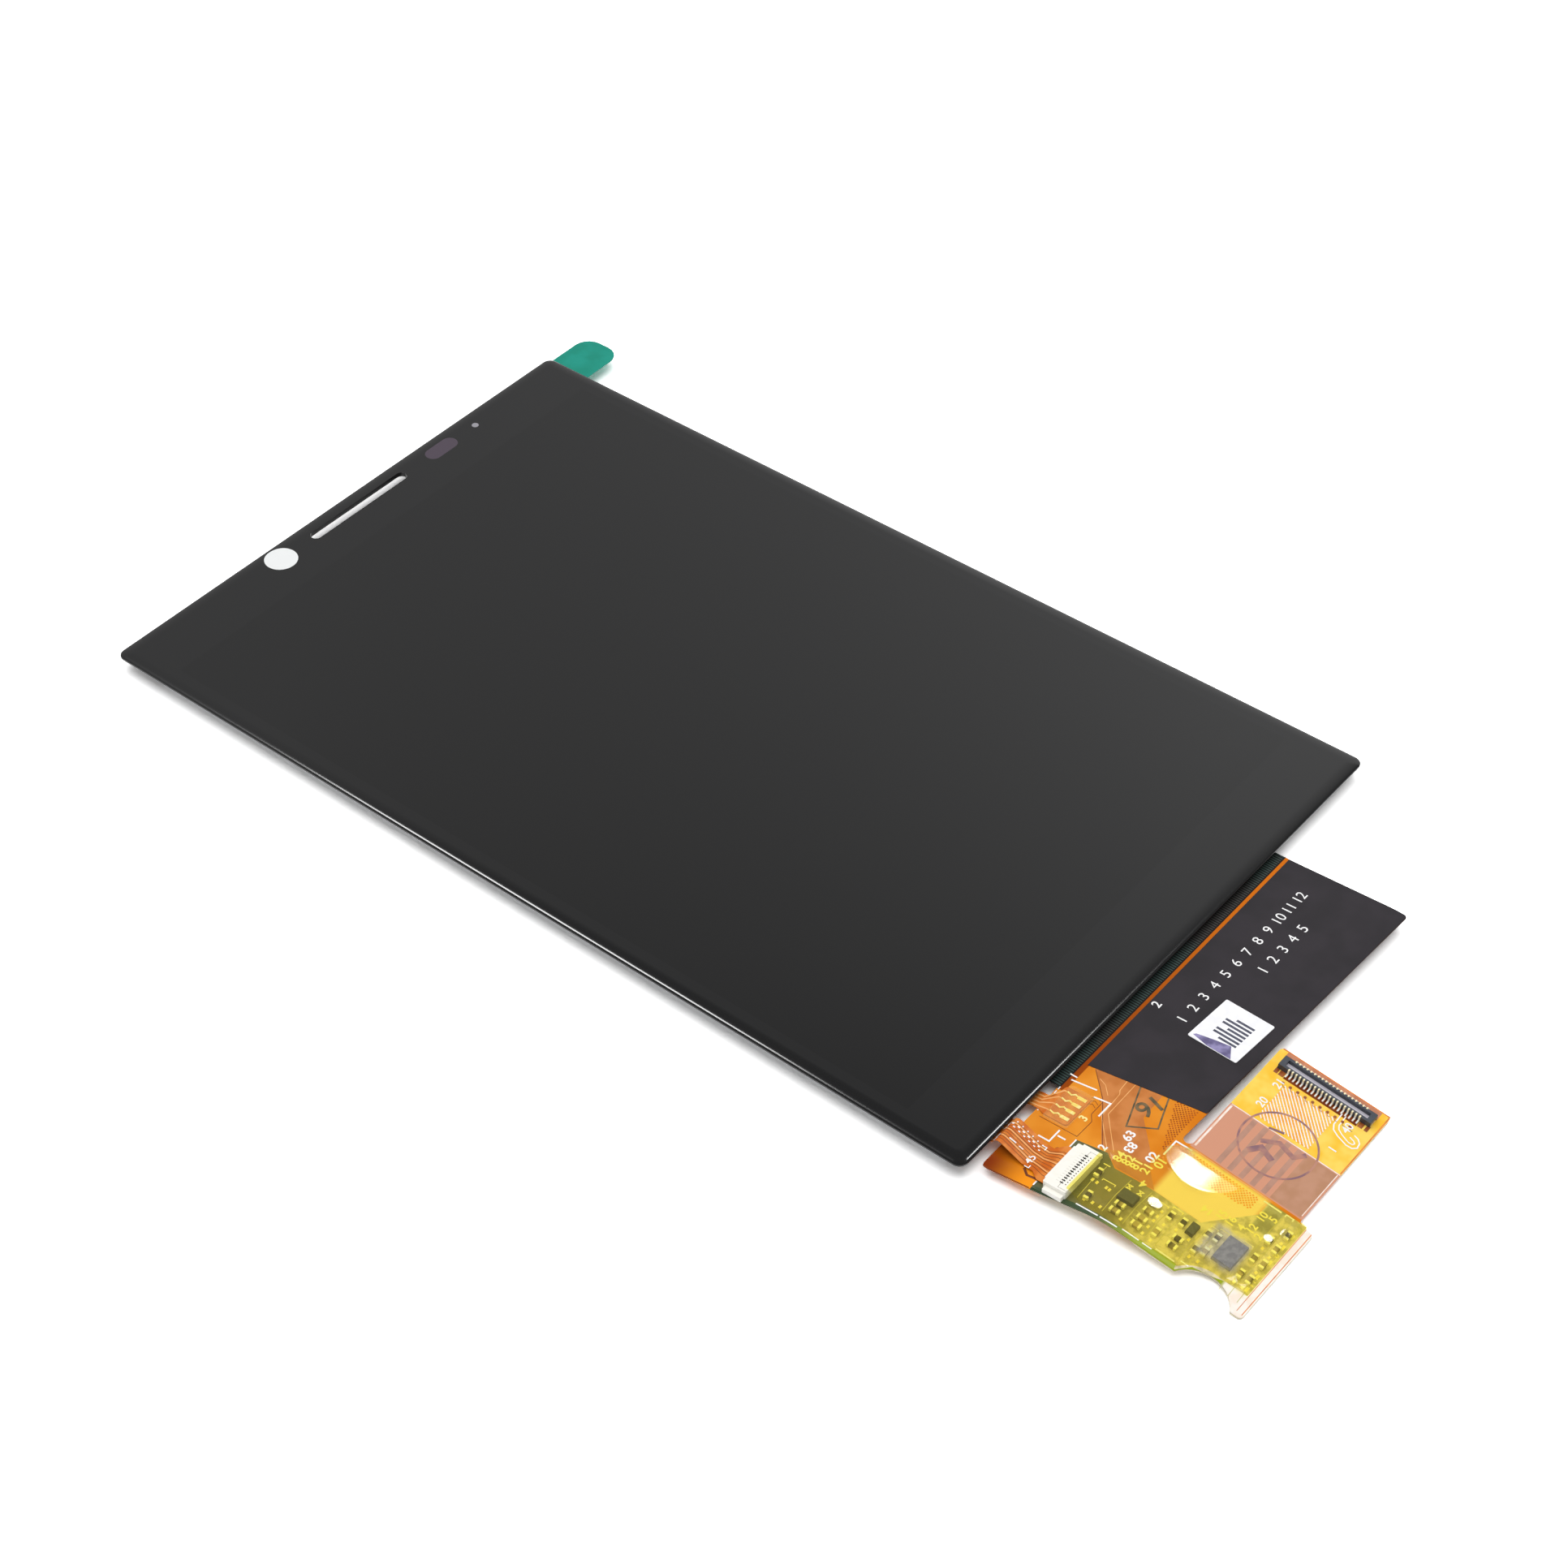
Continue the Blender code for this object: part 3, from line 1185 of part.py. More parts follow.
def tape_height(x, v):
    """The height of the tape over the flex: low at its edges, up over the components and the connector."""
    inward = min(
        x - TAPE_LEFT,
        BOARD_RIGHT - x,
        v - out(TAPE_FOOT_OUT),
        Vector((x - RELIEF_X, v - out(RELIEF_OUT))).length - RELIEF_RADIUS - TAPE_RELIEF_MARGIN,
    )
    tallest = max(MEMORY_SIZE[2], DIODE_SIZE[2], SWITCH_SIZE[2], CHIP_HEIGHT)
    cover = smooth_share(inward, TAPE_SLOPE) * (tallest + TAPE_COVER)
    rear = out(ZIF_OUT) - ZIF_DEPTH / 2
    fall = smooth_share(rear + LAYER_GAP - v, TAPE_TENT_LENGTH)
    beside = smooth_share(x - ZIF_X - ZIF_WIDTH / 2 - ZIF_WING, TAPE_TENT_LENGTH)
    tent = (1 - fall) * (1 - beside) * (ZIF_HEIGHT + TAPE_COVER)
    return FLEX_THICKNESS + SOLDER_GAP + max(cover, tent)


def drape(mesh, height_at):
    """Divides a flat mesh into a grid and lifts every vertex by the height at its place."""
    edit = bmesh.new()
    edit.from_mesh(mesh)
    for axis in (0, 1):
        low = min(vert.co[axis] for vert in edit.verts)
        high = max(vert.co[axis] for vert in edit.verts)
        count = round((high - low) / TAPE_CELL)
        normal = Vector((1 - axis, axis, 0))
        for k in range(1, count):
            spot = normal * (low + (high - low) * k / count)
            geometry = edit.verts[:] + edit.edges[:] + edit.faces[:]
            bmesh.ops.bisect_plane(edit, geom=geometry, dist=1e-3, plane_co=spot, plane_no=normal)
    for vert in edit.verts:
        vert.co.z += height_at(vert.co.x, vert.co.y)
    edit.to_mesh(mesh)
    edit.free()
    return mesh


def make_tapes():
    """The yellow tape over the components, and the small one over the solder pads of the LED tail."""
    top = out(ZIF_OUT) - ZIF_DEPTH / 2 + TAPE_LAP
    arc = relief_arc(RELIEF_RADIUS + TAPE_RELIEF_MARGIN, TAPE_LEFT, TAPE_FOOT_LEFT)
    edge = rounded(
        [(TAPE_LEFT, top, TAPE_CORNER)]
        + arc
        + [
            (TAPE_FOOT_LEFT, out(TAPE_FOOT_OUT), TAPE_CORNER),
            (BOARD_RIGHT, out(TAPE_FOOT_OUT), TAPE_CORNER),
            (BOARD_RIGHT, out(TAPE_STEP_OUT), 0.0),
            (TAPE_CORNER_X, top, TAPE_CORNER),
        ]
    )
    mesh = drape(sheet_mesh([edge], TAPE_THICKNESS), tape_height)
    node("component_tape", bend(mesh, FLEX), YELLOW_TAPE)
    near, far = PAD_TAPE_OUT
    half = PAD_TAPE_WIDTH / 2
    pad_edge = rectangle(LED_PAD_X - half, LED_PAD_X + half, out(far), out(near), FILM_CORNER)
    base = FLEX_THICKNESS + SOLDER_GAP + LED_FLEX_THICKNESS + SOLDER_GAP
    mesh = sheet_mesh([pad_edge], TAPE_THICKNESS, base)
    node("pad_tape", bend(mesh, FLEX), YELLOW_TAPE)


def make_pull_tab():
    """The green tab of the protective film, under the right border of the glass."""
    near, far = PULL_TAB_BELOW_TOP
    left = GLASS_WIDTH / 2 - PULL_TAB_OVERLAP
    right = GLASS_WIDTH / 2 + PULL_TAB_REACH
    edge = rounded(
        [
            (left, GLASS_TOP - near, 0.0),
            (left, GLASS_TOP - far, 0.0),
            (right, GLASS_TOP - far, PULL_TAB_CORNER),
            (right, GLASS_TOP - near, PULL_TAB_CORNER),
        ]
    )
    base = INK_Z - LAYER_GAP - PULL_TAB_THICKNESS
    node("pull_tab", sheet_mesh([edge], PULL_TAB_THICKNESS, base), TAB_FILM)


def shade_objects():
    for obj in PARTS.objects:
        obj.data.shade_smooth()
        obj.data.set_sharp_from_angle(angle=math.radians(30))


make_cover_glass()
make_ink()
make_touch_layers()
make_cell()
make_back_plate()
make_frame()
make_optics()
make_rim_tape()
make_led_strip()
make_main_flex()
make_shield_film()
make_stiffeners()
make_label()
make_plug()
make_zif()
make_touch_tail()
make_components()
make_tapes()
make_pull_tab()
shade_objects()
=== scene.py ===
import math

import bmesh
import bpy
from mathutils import Matrix, Vector


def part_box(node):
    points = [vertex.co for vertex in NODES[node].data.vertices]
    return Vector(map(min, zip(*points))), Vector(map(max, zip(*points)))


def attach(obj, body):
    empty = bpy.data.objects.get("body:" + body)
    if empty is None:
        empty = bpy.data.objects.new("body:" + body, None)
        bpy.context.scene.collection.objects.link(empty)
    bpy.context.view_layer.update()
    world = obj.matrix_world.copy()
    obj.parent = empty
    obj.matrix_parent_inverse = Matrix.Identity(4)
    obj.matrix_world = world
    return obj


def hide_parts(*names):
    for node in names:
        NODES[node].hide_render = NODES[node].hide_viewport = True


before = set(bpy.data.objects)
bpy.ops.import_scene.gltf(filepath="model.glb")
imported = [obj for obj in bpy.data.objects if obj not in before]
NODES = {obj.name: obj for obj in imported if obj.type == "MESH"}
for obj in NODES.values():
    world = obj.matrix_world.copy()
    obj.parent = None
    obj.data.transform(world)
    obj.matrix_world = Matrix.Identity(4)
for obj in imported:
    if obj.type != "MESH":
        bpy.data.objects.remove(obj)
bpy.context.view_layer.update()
SCENE = bpy.context.scene
MM = 0.001

# Sizes that this file shares with the CAD model, in millimetres. V runs along a circuit laid flat
GLASS_WIDTH, GLASS_LENGTH, GLASS_CORNER = 68.0, 110.0, 1.0
GLASS_SHOULDER, GLASS_LAND, GLASS_CHAMFER = 1.4, 0.15, 0.1
GLASS_BASE, GLASS_TOP = 1.72, 2.27
GLASS_END = -GLASS_LENGTH / 2
OPENINGS_Y = 52.65
EARPIECE_X, EARPIECE_WIDTH, EARPIECE_HEIGHT = -0.05, 14.7, 1.35
LENS_X, LENS_DIAMETER = -12.1, 3.7
SENSOR_X, SENSOR_WIDTH, SENSOR_HEIGHT = 13.2, 4.5, 1.95
INDICATOR_X, INDICATOR_DIAMETER = 18.8, 0.8
ACTIVE_RIGHT, ACTIVE_TOP, ACTIVE_END = 31.65, 47.75, -47.25
FLEX_Z, FLEX_THICKNESS, TAIL_THICKNESS = 1.09, 0.11, 0.08
FLEX_RISE_OUT, FLEX_RIDGE_OUT, FLEX_BEND_RADIUS = 1.0, 13.7, 20.0
FLEX_RISE_ANGLE, FLEX_FALL_ANGLE = 3.0, 6.4
SHIELD_THICKNESS, LABEL_THICKNESS, BOND_GAP, SOLDER_GAP = 0.04, 0.06, 0.01, 0.02
SHIELD_TOP = FLEX_THICKNESS + BOND_GAP + SHIELD_THICKNESS
LABEL_TOP = SHIELD_TOP + BOND_GAP + LABEL_THICKNESS
LABEL_X, LABEL_V, LABEL_TURN = -4.9, -64.4, -4.0
PLUG_X, PLUG_V, PLUG_WIDTH, PLUG_HEIGHT = -5.39, -75.0, 1.3, 0.6
CONTACT_PITCH, CONTACT_WIDTH = 0.4, 0.16
ZIF_X, ZIF_V, ZIF_DEPTH, ZIF_HEIGHT = -28.05, -62.65, 2.5, 0.9
ZIF_PITCH, ZIF_LOCK_FRONT = 0.32, -0.3

# Side views of the tails: where the first leg starts, and legs of (length, turn in degrees)
TOUCH_START_V, TOUCH_START_Z = -49.15, 1.38
TOUCH_BENDS = [(5.5, 0.0), (0.628, 60.0), (0.25, 0.0), (0.79, -75.4), (2.6, 0.0), (0.193, 18.4)]
LED_START_V, LED_START_Z = -52.85, 0.52
LED_BENDS = [(0.9, 20.9), (1.05, 0.0), (0.9, -20.9), (0.3, 0.0), (1.047, 3.0)]

# The camera, from the corners of the glass in the photograph
CAMERA_RIGHT = (0.63955, -0.76865, -0.01212)
CAMERA_DOWN = (-0.53367, -0.43257, -0.72669)
CAMERA_FORWARD = (0.55333, 0.47122, -0.68686)
CAMERA_PLACE = (-182.203, -152.796, 215.879)
CAMERA_LENS, CAMERA_SENSOR, CAMERA_SHIFT = 71.461, 36.0, 0.0471

# Light: the room's level, the lamps' distance, and the floor's grey, gain to the eye, reach and height
# (the distance, the reach and the height in metres)
ROOM_LIGHT = 0.46
LAMP_DISTANCE = 1.2
FLOOR_GREY, FLOOR_GAIN, FLOOR_REACH, FLOOR_Z = 0.98, 0.8, 3.0, -0.00002

# Steps of curves, and the angle in degrees from which an edge of the glass is sharp
BEND_STEPS, CORNER_STEPS, PILL_STEPS, SHOULDER_STEPS = 6, 10, 16, 24
SHARP_ANGLE = 24

# How far each kind of print stands over its circuit, and how thick it is, in millimetres
PRINTS = {
    "field": (0.003, 0.003), "label": (0.003, 0.004), "hole": (0.004, 0.003), "tail": (0.004, 0.004),
    "mask": (0.004, 0.006), "thin": (0.006, 0.001), "ear_rim": (0.006, 0.003), "plug_rim": (0.006, 0.004),
    "trace": (0.008, 0.003), "line": (0.008, 0.004), "pad": (0.008, 0.01), "seam": (0.01, 0.003),
    "tail_mark": (0.01, 0.004), "rim_mask": (0.011, 0.004), "square_stamp": (0.012, 0.003),
    "round_stamp": (0.014, 0.003), "mark": (0.014, 0.004), "small_pad": (0.014, 0.02), "solder": (0.1, 0.05),
}
TEXT_SCALE, TEXT_THICKNESS = 1.15, 0.003


def srgb(red, green, blue):
    """A colour given as it looks on a screen, from 0 to 255, as the linear one that a shader takes."""
    values = [c / 255 for c in (red, green, blue)]
    return tuple(c / 12.92 if c <= 0.04045 else ((c + 0.055) / 1.055) ** 2.4 for c in values)


class Course:
    """Side view of a bent strip: straight legs and arcs, each (length, turn in degrees)."""

    def __init__(self, start_v, start_z, legs):
        self.start = (start_v, start_z, 0.0)
        self.legs = [(length, math.radians(turn)) for length, turn in legs]

    def at(self, v):
        """The strip's underside at v, as (y, z, slope)."""
        y, z, slope = self.start
        left = y - v
        if left < 0:
            return v, z, slope
        for length, turn in self.legs + [(math.inf, 0.0)]:
            run = min(left, length)
            part = turn * run / length if turn else 0.0
            chord = run * (math.sin(part / 2) / (part / 2) if part else 1.0)
            y -= chord * math.cos(slope + part / 2)
            z += chord * math.sin(slope + part / 2)
            slope += part
            left -= run
            if left <= 0:
                break
        return y, z, slope

    def cuts(self):
        """The v at which print is divided, so that it follows the arcs."""
        v = self.start[0]
        found = [v]
        for length, turn in self.legs:
            steps = BEND_STEPS if turn else 1
            found += [v - length * (k + 1) / steps for k in range(steps)]
            v -= length
        return found

    def place(self, x, v, height, turn=0.0):
        """The matrix, in metres, of what stands this high over the strip, turned in its plane."""
        y, z, slope = self.at(v)
        spot = Vector((x, y + height * math.sin(slope), z + height * math.cos(slope)))
        lean = Matrix.Rotation(-slope, 4, "X") @ Matrix.Rotation(math.radians(turn), 4, "Z")
        return Matrix.Translation(spot * MM) @ lean


def flex_course():
    """The main flex: level on its bond, up to the ridge by the slot, then down to rest."""
    rise = FLEX_BEND_RADIUS * math.radians(FLEX_RISE_ANGLE)
    fall = FLEX_BEND_RADIUS * math.radians(FLEX_RISE_ANGLE + FLEX_FALL_ANGLE)
    straight = FLEX_RIDGE_OUT - FLEX_RISE_OUT - rise - fall / 2
    legs = [(rise, FLEX_RISE_ANGLE), (straight, 0.0), (fall, -FLEX_RISE_ANGLE - FLEX_FALL_ANGLE)]
    return Course(GLASS_END - FLEX_RISE_OUT, FLEX_Z, legs)


FLEX = flex_course()
TOUCH_TAIL = Course(TOUCH_START_V, TOUCH_START_Z, TOUCH_BENDS)
LED_TAIL = Course(LED_START_V, LED_START_Z, LED_BENDS)


class Value:
    """A number that a node gives, with plain signs for its arithmetic."""

    def __init__(self, nodes, socket):
        self.nodes = nodes
        self.socket = socket

    def __add__(self, other):
        return self.nodes.calc("ADD", self, other)

    def __sub__(self, other):
        return self.nodes.calc("SUBTRACT", self, other)

    def __rsub__(self, other):
        return self.nodes.calc("SUBTRACT", other, self)

    def __mul__(self, other):
        return self.nodes.calc("MULTIPLY", self, other)

    def __truediv__(self, other):
        return self.nodes.calc("DIVIDE", self, other)

    def __abs__(self):
        return self.nodes.calc("ABSOLUTE", self)

    def most(self, other):
        return self.nodes.calc("MAXIMUM", self, other)

    def wave(self, size):
        """A zigzag between 0 and a size."""
        return self.nodes.calc("PINGPONG", self, size)

    def ramp(self, low, high):
        """A factor that goes from 0 at low to 1 at high."""
        inputs = {0: self, 1: low, 2: high, 3: 0.0, 4: 1.0}
        return self.nodes.value("ShaderNodeMapRange", inputs, interpolation_type="SMOOTHSTEP")

    def inside(self, low, high, soft=0.01):
        """1 between two limits."""
        return self.ramp(low - soft, low + soft) - self.ramp(high - soft, high + soft)

    def within(self, reach, soft=0.01):
        """1 below a reach."""
        return self.ramp(reach + soft, reach - soft)

    def comb(self, pitch, width, soft=0.01):
        """1 in stripes of a given width that repeat at a pitch, one of them centred on 0."""
        return self.wave(pitch / 2).within(width / 2, soft)

    def shade(self, low, high, first, second):
        """The first colour where the value is low, and the second where it is high."""
        return self.nodes.mix(self.ramp(low, high), first, second)


class Nodes:
    """Short calls for the nodes of one tree. A colour is linear, up to 1, or a screen colour, up to 255."""

    def __init__(self, tree):
        self.tree = tree

    def set(self, node, socket, value):
        target = node.inputs[socket]
        if isinstance(value, Value):
            value = value.socket
        if isinstance(value, bpy.types.NodeSocket):
            self.tree.links.new(value, target)
        elif isinstance(value, tuple) and len(value) == 3 and target.type == "RGBA":
            target.default_value = (*(srgb(*value) if max(value) > 1 else value), 1.0)
        else:
            target.default_value = value

    def node(self, kind, inputs=None, **settings):
        made = self.tree.nodes.new(kind)
        for key, value in settings.items():
            setattr(made, key, value)
        for socket, value in (inputs or {}).items():
            self.set(made, socket, value)
        return made

    def value(self, kind, inputs, **settings):
        return Value(self, self.node(kind, inputs, **settings).outputs[0])

    def calc(self, operation, *values, clamp=False):
        return self.value("ShaderNodeMath", dict(enumerate(values)), operation=operation, use_clamp=clamp)

    def split(self, vector):
        return [Value(self, part) for part in self.node("ShaderNodeSeparateXYZ", {0: vector}).outputs]

    def rays(self):
        """1 for camera, transmission and glossy rays."""
        outputs = self.node("ShaderNodeLightPath").outputs
        return [Value(self, outputs[f"Is {kind} Ray"]) for kind in ("Camera", "Transmission", "Glossy")]

    def mix(self, factor, first, second):
        made = self.node("ShaderNodeMix", data_type="RGBA")
        for socket, value in (("Factor", factor), (6, first), (7, second)):
            self.set(made, socket, value)
        return made.outputs[2]


class Look(Nodes):
    """A procedural material. Lengths are in millimetres."""

    def __init__(self, name, color, roughness, metallic=0.0, **sockets):
        self.material = bpy.data.materials.new(name)
        self.material.use_nodes = True
        super().__init__(self.material.node_tree)
        self.shader = self.tree.nodes["Principled BSDF"]
        self.output = self.tree.nodes["Material Output"]
        self.spot = None
        self.set(self.shader, "Base Color", color)
        self.set(self.shader, "Roughness", roughness)
        self.set(self.shader, "Metallic", metallic)
        for socket, value in sockets.items():
            self.set(self.shader, socket.replace("_", " "), value)

    def vector(self):
        """Object coordinates."""
        if not self.spot:
            inputs = {0: self.node("ShaderNodeTexCoord").outputs["Object"], "Scale": 1 / MM}
            self.spot = self.node("ShaderNodeVectorMath", inputs, operation="SCALE").outputs[0]
        return self.spot

    def xyz(self):
        return self.split(self.vector())

    def local(self, matrix):
        """The x, y and z of the frame of a component that stands on the flex."""
        spot, turn, _ = matrix.decompose()
        inputs = {"Vector": self.vector(), "Location": tuple(spot / MM), "Rotation": tuple(turn.to_euler())}
        return self.split(self.node("ShaderNodeMapping", inputs, vector_type="TEXTURE").outputs[0])

    def noise(self, per_mm, detail=2.0, stretch=None):
        vector = self.vector()
        if stretch:
            vector = self.node("ShaderNodeMapping", {"Vector": vector, "Scale": stretch}).outputs[0]
        return self.value("ShaderNodeTexNoise", {"Vector": vector, "Scale": per_mm, "Detail": detail})

    def distance(self, across, along):
        return self.calc("SQRT", across * across + along * along)

    def blend(self, share, first, second):
        return self.node("ShaderNodeMixShader", {0: share, 1: first.outputs[0], 2: second.outputs[0]})

    def clear(self, tint=(1.0, 1.0, 1.0)):
        return self.node("ShaderNodeBsdfTransparent", {"Color": tint})

    def surface(self, shader):
        self.set(self.output, "Surface", shader.outputs[0])
        return self

    def color(self, value):
        self.set(self.shader, "Base Color", value)
        return self

    def normal(self, height, distance):
        inputs = {"Height": height, "Distance": distance * MM, "Strength": 1.0}
        return self.node("ShaderNodeBump", inputs).outputs[0]

    def bump(self, height, distance=0.01):
        self.set(self.shader, "Normal", self.normal(height, distance))
        return self


def mottled(name, first, second, per_mm, roughness, metallic=0.0, detail=2.0, stretch=None, **sockets):
    """A look whose colour wanders between two screen colours."""
    look = Look(name, first, roughness, metallic, **sockets)
    return look.color(look.noise(per_mm, detail, stretch).shade(0.35, 0.65, first, second))


def ink(name, first, second, per_mm, roughness=0.4):
    """A mottled look with little shine, for print and copper under the film."""
    return mottled(name, first, second, per_mm, roughness, Specular_IOR_Level=0.16)


def film_look(name, tint, gloss, share):
    """A clear tinted film: light passes through it, coloured, and part of it shines."""
    look = Look(name, gloss, 0.15)
    return look.surface(look.blend(share, look.clear(tint), look.shader))


def add_object(name, data):
    obj = bpy.data.objects.new(name, data)
    SCENE.collection.objects.link(obj)
    return obj


def piece(name, mesh, look):
    """A piece of the dressed part, from a mesh in millimetres."""
    mesh.transform(Matrix.Scale(MM, 4))
    mesh.materials.clear()
    mesh.materials.append(look.material)
    obj = add_object(name, mesh)
    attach(obj, "root")
    return obj


def dress(look, *names):
    """Gives CAD nodes a material."""
    for name in names:
        mesh = NODES[name].data
        mesh.materials.clear()
        mesh.materials.append(look.material)


class Print:
    """Flat shapes on a bent strip, such as traces, pads and silkscreen, gathered into one mesh."""

    def __init__(self, kind, course=FLEX, base=FLEX_THICKNESS):
        lift, thickness = PRINTS[kind]
        self.mesh = bmesh.new()
        self.low = base + lift
        self.high = self.low + thickness
        self.course = course

    def area(self, *points):
        """A filled outline of (x, v) points."""
        lower = [self.mesh.verts.new((x, v, self.low)) for x, v in points]
        upper = [self.mesh.verts.new((x, v, self.high)) for x, v in points]
        self.mesh.faces.new(lower)
        self.mesh.faces.new(reversed(upper))
        for k in range(len(points)):
            follow = (k + 1) % len(points)
            self.mesh.faces.new((lower[k], upper[k], upper[follow], lower[follow]))
        return self

    def box(self, left, right, low, high):
        return self.area((left, low), (right, low), (right, high), (left, high))

    def line(self, width, *points):
        """A stroke of even width along (x, v) points, with mitred corners."""
        spots = [Vector(point) for point in points]
        sides = []
        for k, spot in enumerate(spots):
            before = (spot - spots[k - 1]).normalized() if k else None
            after = (spots[k + 1] - spot).normalized() if k + 1 < len(spots) else None
            along = ((before or after) + (after or before)).normalized()
            across = Vector((-along.y, along.x))
            reach = width / 2 / max(0.4, along.dot(before or after))
            sides.append((spot + across * reach, spot - across * reach))
        outline = [a for a, b in sides] + [b for a, b in reversed(sides)]
        return self.area(*[(p.x, p.y) for p in outline])

    def ring(self, x, v, radius, width, start=0, end=360, steps=48):
        angles = [math.radians(start + (end - start) * k / steps) for k in range(steps + 1)]
        return self.line(width, *[(x + radius * math.cos(a), v + radius * math.sin(a)) for a in angles])

    def disc(self, x, v, radius, steps=16):
        angles = [2 * math.pi * k / steps for k in range(steps)]
        return self.area(*[(x + radius * math.cos(a), v + radius * math.sin(a)) for a in angles])

    def done(self, name, look, slot="flex_polyimide"):
        """Bends the flat shapes along the course and makes them one piece."""
        edit = self.mesh
        bmesh.ops.recalc_face_normals(edit, faces=edit.faces)
        for v in self.course.cuts():
            geometry = edit.verts[:] + edit.edges[:] + edit.faces[:]
            bmesh.ops.bisect_plane(edit, geom=geometry, dist=1e-4, plane_co=(0, v, 0), plane_no=(0, 1, 0))
        for vert in edit.verts:
            x, v, height = vert.co
            y, z, slope = self.course.at(v)
            vert.co = (x, y + height * math.sin(slope), z + height * math.cos(slope))
        mesh = bpy.data.meshes.new(name)
        edit.to_mesh(mesh)
        edit.free()
        return piece(name, mesh, look)


def write(name, text, x, v, size, look, turn=0.0, lift=0.02, base=FLEX_THICKNESS, bold=0.018, course=FLEX):
    """A plain number printed on a circuit."""
    curve = bpy.data.curves.new(name, "FONT")
    curve.body = text
    curve.size = size * TEXT_SCALE * MM
    curve.align_x = "CENTER"
    curve.align_y = "CENTER"
    curve.extrude = TEXT_THICKNESS * MM
    curve.offset = bold * size * MM
    curve.materials.append(look.material)
    obj = add_object(name, curve)
    obj.matrix_world = course.place(x, v, base + lift, turn)
    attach(obj, "root")


def write_all(name, numbers, look, **settings):
    """Numbers, each (text, x, v, size) and some with a turn, named in their order."""
    for k, (text, x, v, size, *turn) in enumerate(numbers):
        write(f"{name}_{k + 1}", text, x, v, size, look, *turn, **settings)


def make_camera():
    data = bpy.data.cameras.new("camera")
    data.sensor_width = CAMERA_SENSOR
    data.lens = CAMERA_LENS
    data.shift_x = CAMERA_SHIFT
    data.clip_start = 0.01
    data.clip_end = 20.0
    camera = add_object("camera", data)
    axes = (Vector(CAMERA_RIGHT), -Vector(CAMERA_DOWN), -Vector(CAMERA_FORWARD))
    camera.matrix_world = Matrix.Translation(Vector(CAMERA_PLACE) * MM) @ Matrix(axes).transposed().to_4x4()
    SCENE.camera = camera


def room_gloss(nodes):
    """The room that glossy rays see, darker towards the lower left, as the glass in the photograph shows."""
    fade_start, fade_rate, middle_x, middle_lean, side_rate = 0.586, 4.1, 0.734, 0.343, 4.1
    level, rise, darkest, brightest = 0.63, 0.19, 0.3, 1.05
    x, y, _ = nodes.split(nodes.node("ShaderNodeTexCoord").outputs["Generated"])
    down = nodes.calc("MULTIPLY", fade_start - y, fade_rate, clamp=True)
    tilt = (x - (middle_x - y * middle_lean)) * down * side_rate
    return nodes.calc("MINIMUM", (down * down * rise + level + tilt).most(darkest), brightest)


def make_world():
    """A white room to the eye, dimmer as a light, with a gradient of its own for reflections."""
    world = bpy.data.worlds.new("world")
    SCENE.world = world
    world.use_nodes = True
    nodes = Nodes(world.node_tree)
    camera, transmission, glossy = nodes.rays()
    seen = camera.most(transmission)
    matte = nodes.calc("SUBTRACT", 1.0 - glossy, seen, clamp=True)
    strength = room_gloss(nodes) * glossy + matte * ROOM_LIGHT
    background = world.node_tree.nodes["Background"]
    nodes.set(background, "Color", (1.0, 1.0, 1.0))
    nodes.set(background, "Strength", (1.0 - seen) * strength + seen)


def add_light(name, direction, width, length, radiance, along, glints_only=False):
    """An area light that faces the middle of the part, with its length along a direction."""
    direction = Vector(direction).normalized()
    data = bpy.data.lights.new(name, "AREA")
    data.shape = "RECTANGLE"
    data.size = width
    data.size_y = length
    data.energy = radiance * math.pi * width * length
    light = add_object(name, data)
    side = (Vector(along) - direction * direction.dot(Vector(along))).normalized()
    turn = Matrix((side.cross(direction), side, direction)).transposed().to_4x4()
    light.matrix_world = Matrix.Translation(direction * LAMP_DISTANCE) @ turn
    light.visible_diffuse = not glints_only
    light.visible_glossy = glints_only


def make_lights():
    """A broad soft light overhead, and two lamps that only draw the lines of light on the glass."""
    add_light("key_light", (0.03, 0.06, 1.0), 1.4, 1.4, 2.0, (0, 1, 0))
    add_light("long_edge_light", (-0.05, 0.48, 0.876), 0.2, 0.28, 23.0, (0, 1, 0), glints_only=True)
    add_light("short_edge_light", (0.515, -0.215, 0.83), 0.16, 0.08, 30.0, (1, 0, 0), glints_only=True)


def make_floor():
    """A pale floor that is white to the eye and keeps the shadow."""
    mesh = bpy.data.meshes.new("floor")
    corners = ((-1, -1), (1, -1), (1, 1), (-1, 1))
    mesh.from_pydata([(x * FLOOR_REACH, y * FLOOR_REACH, FLOOR_Z) for x, y in corners], [], [(0, 1, 2, 3)])
    look = Look("floor", (FLOOR_GREY, FLOOR_GREY, FLOOR_GREY), 0.9)
    camera, transmission, glossy = look.rays()
    level = camera.most(transmission).most(glossy) * FLOOR_GAIN + FLOOR_GREY
    look.surface(look.node("ShaderNodeBsdfDiffuse", {"Color": level}))
    mesh.materials.append(look.material)
    floor = add_object("floor", mesh)


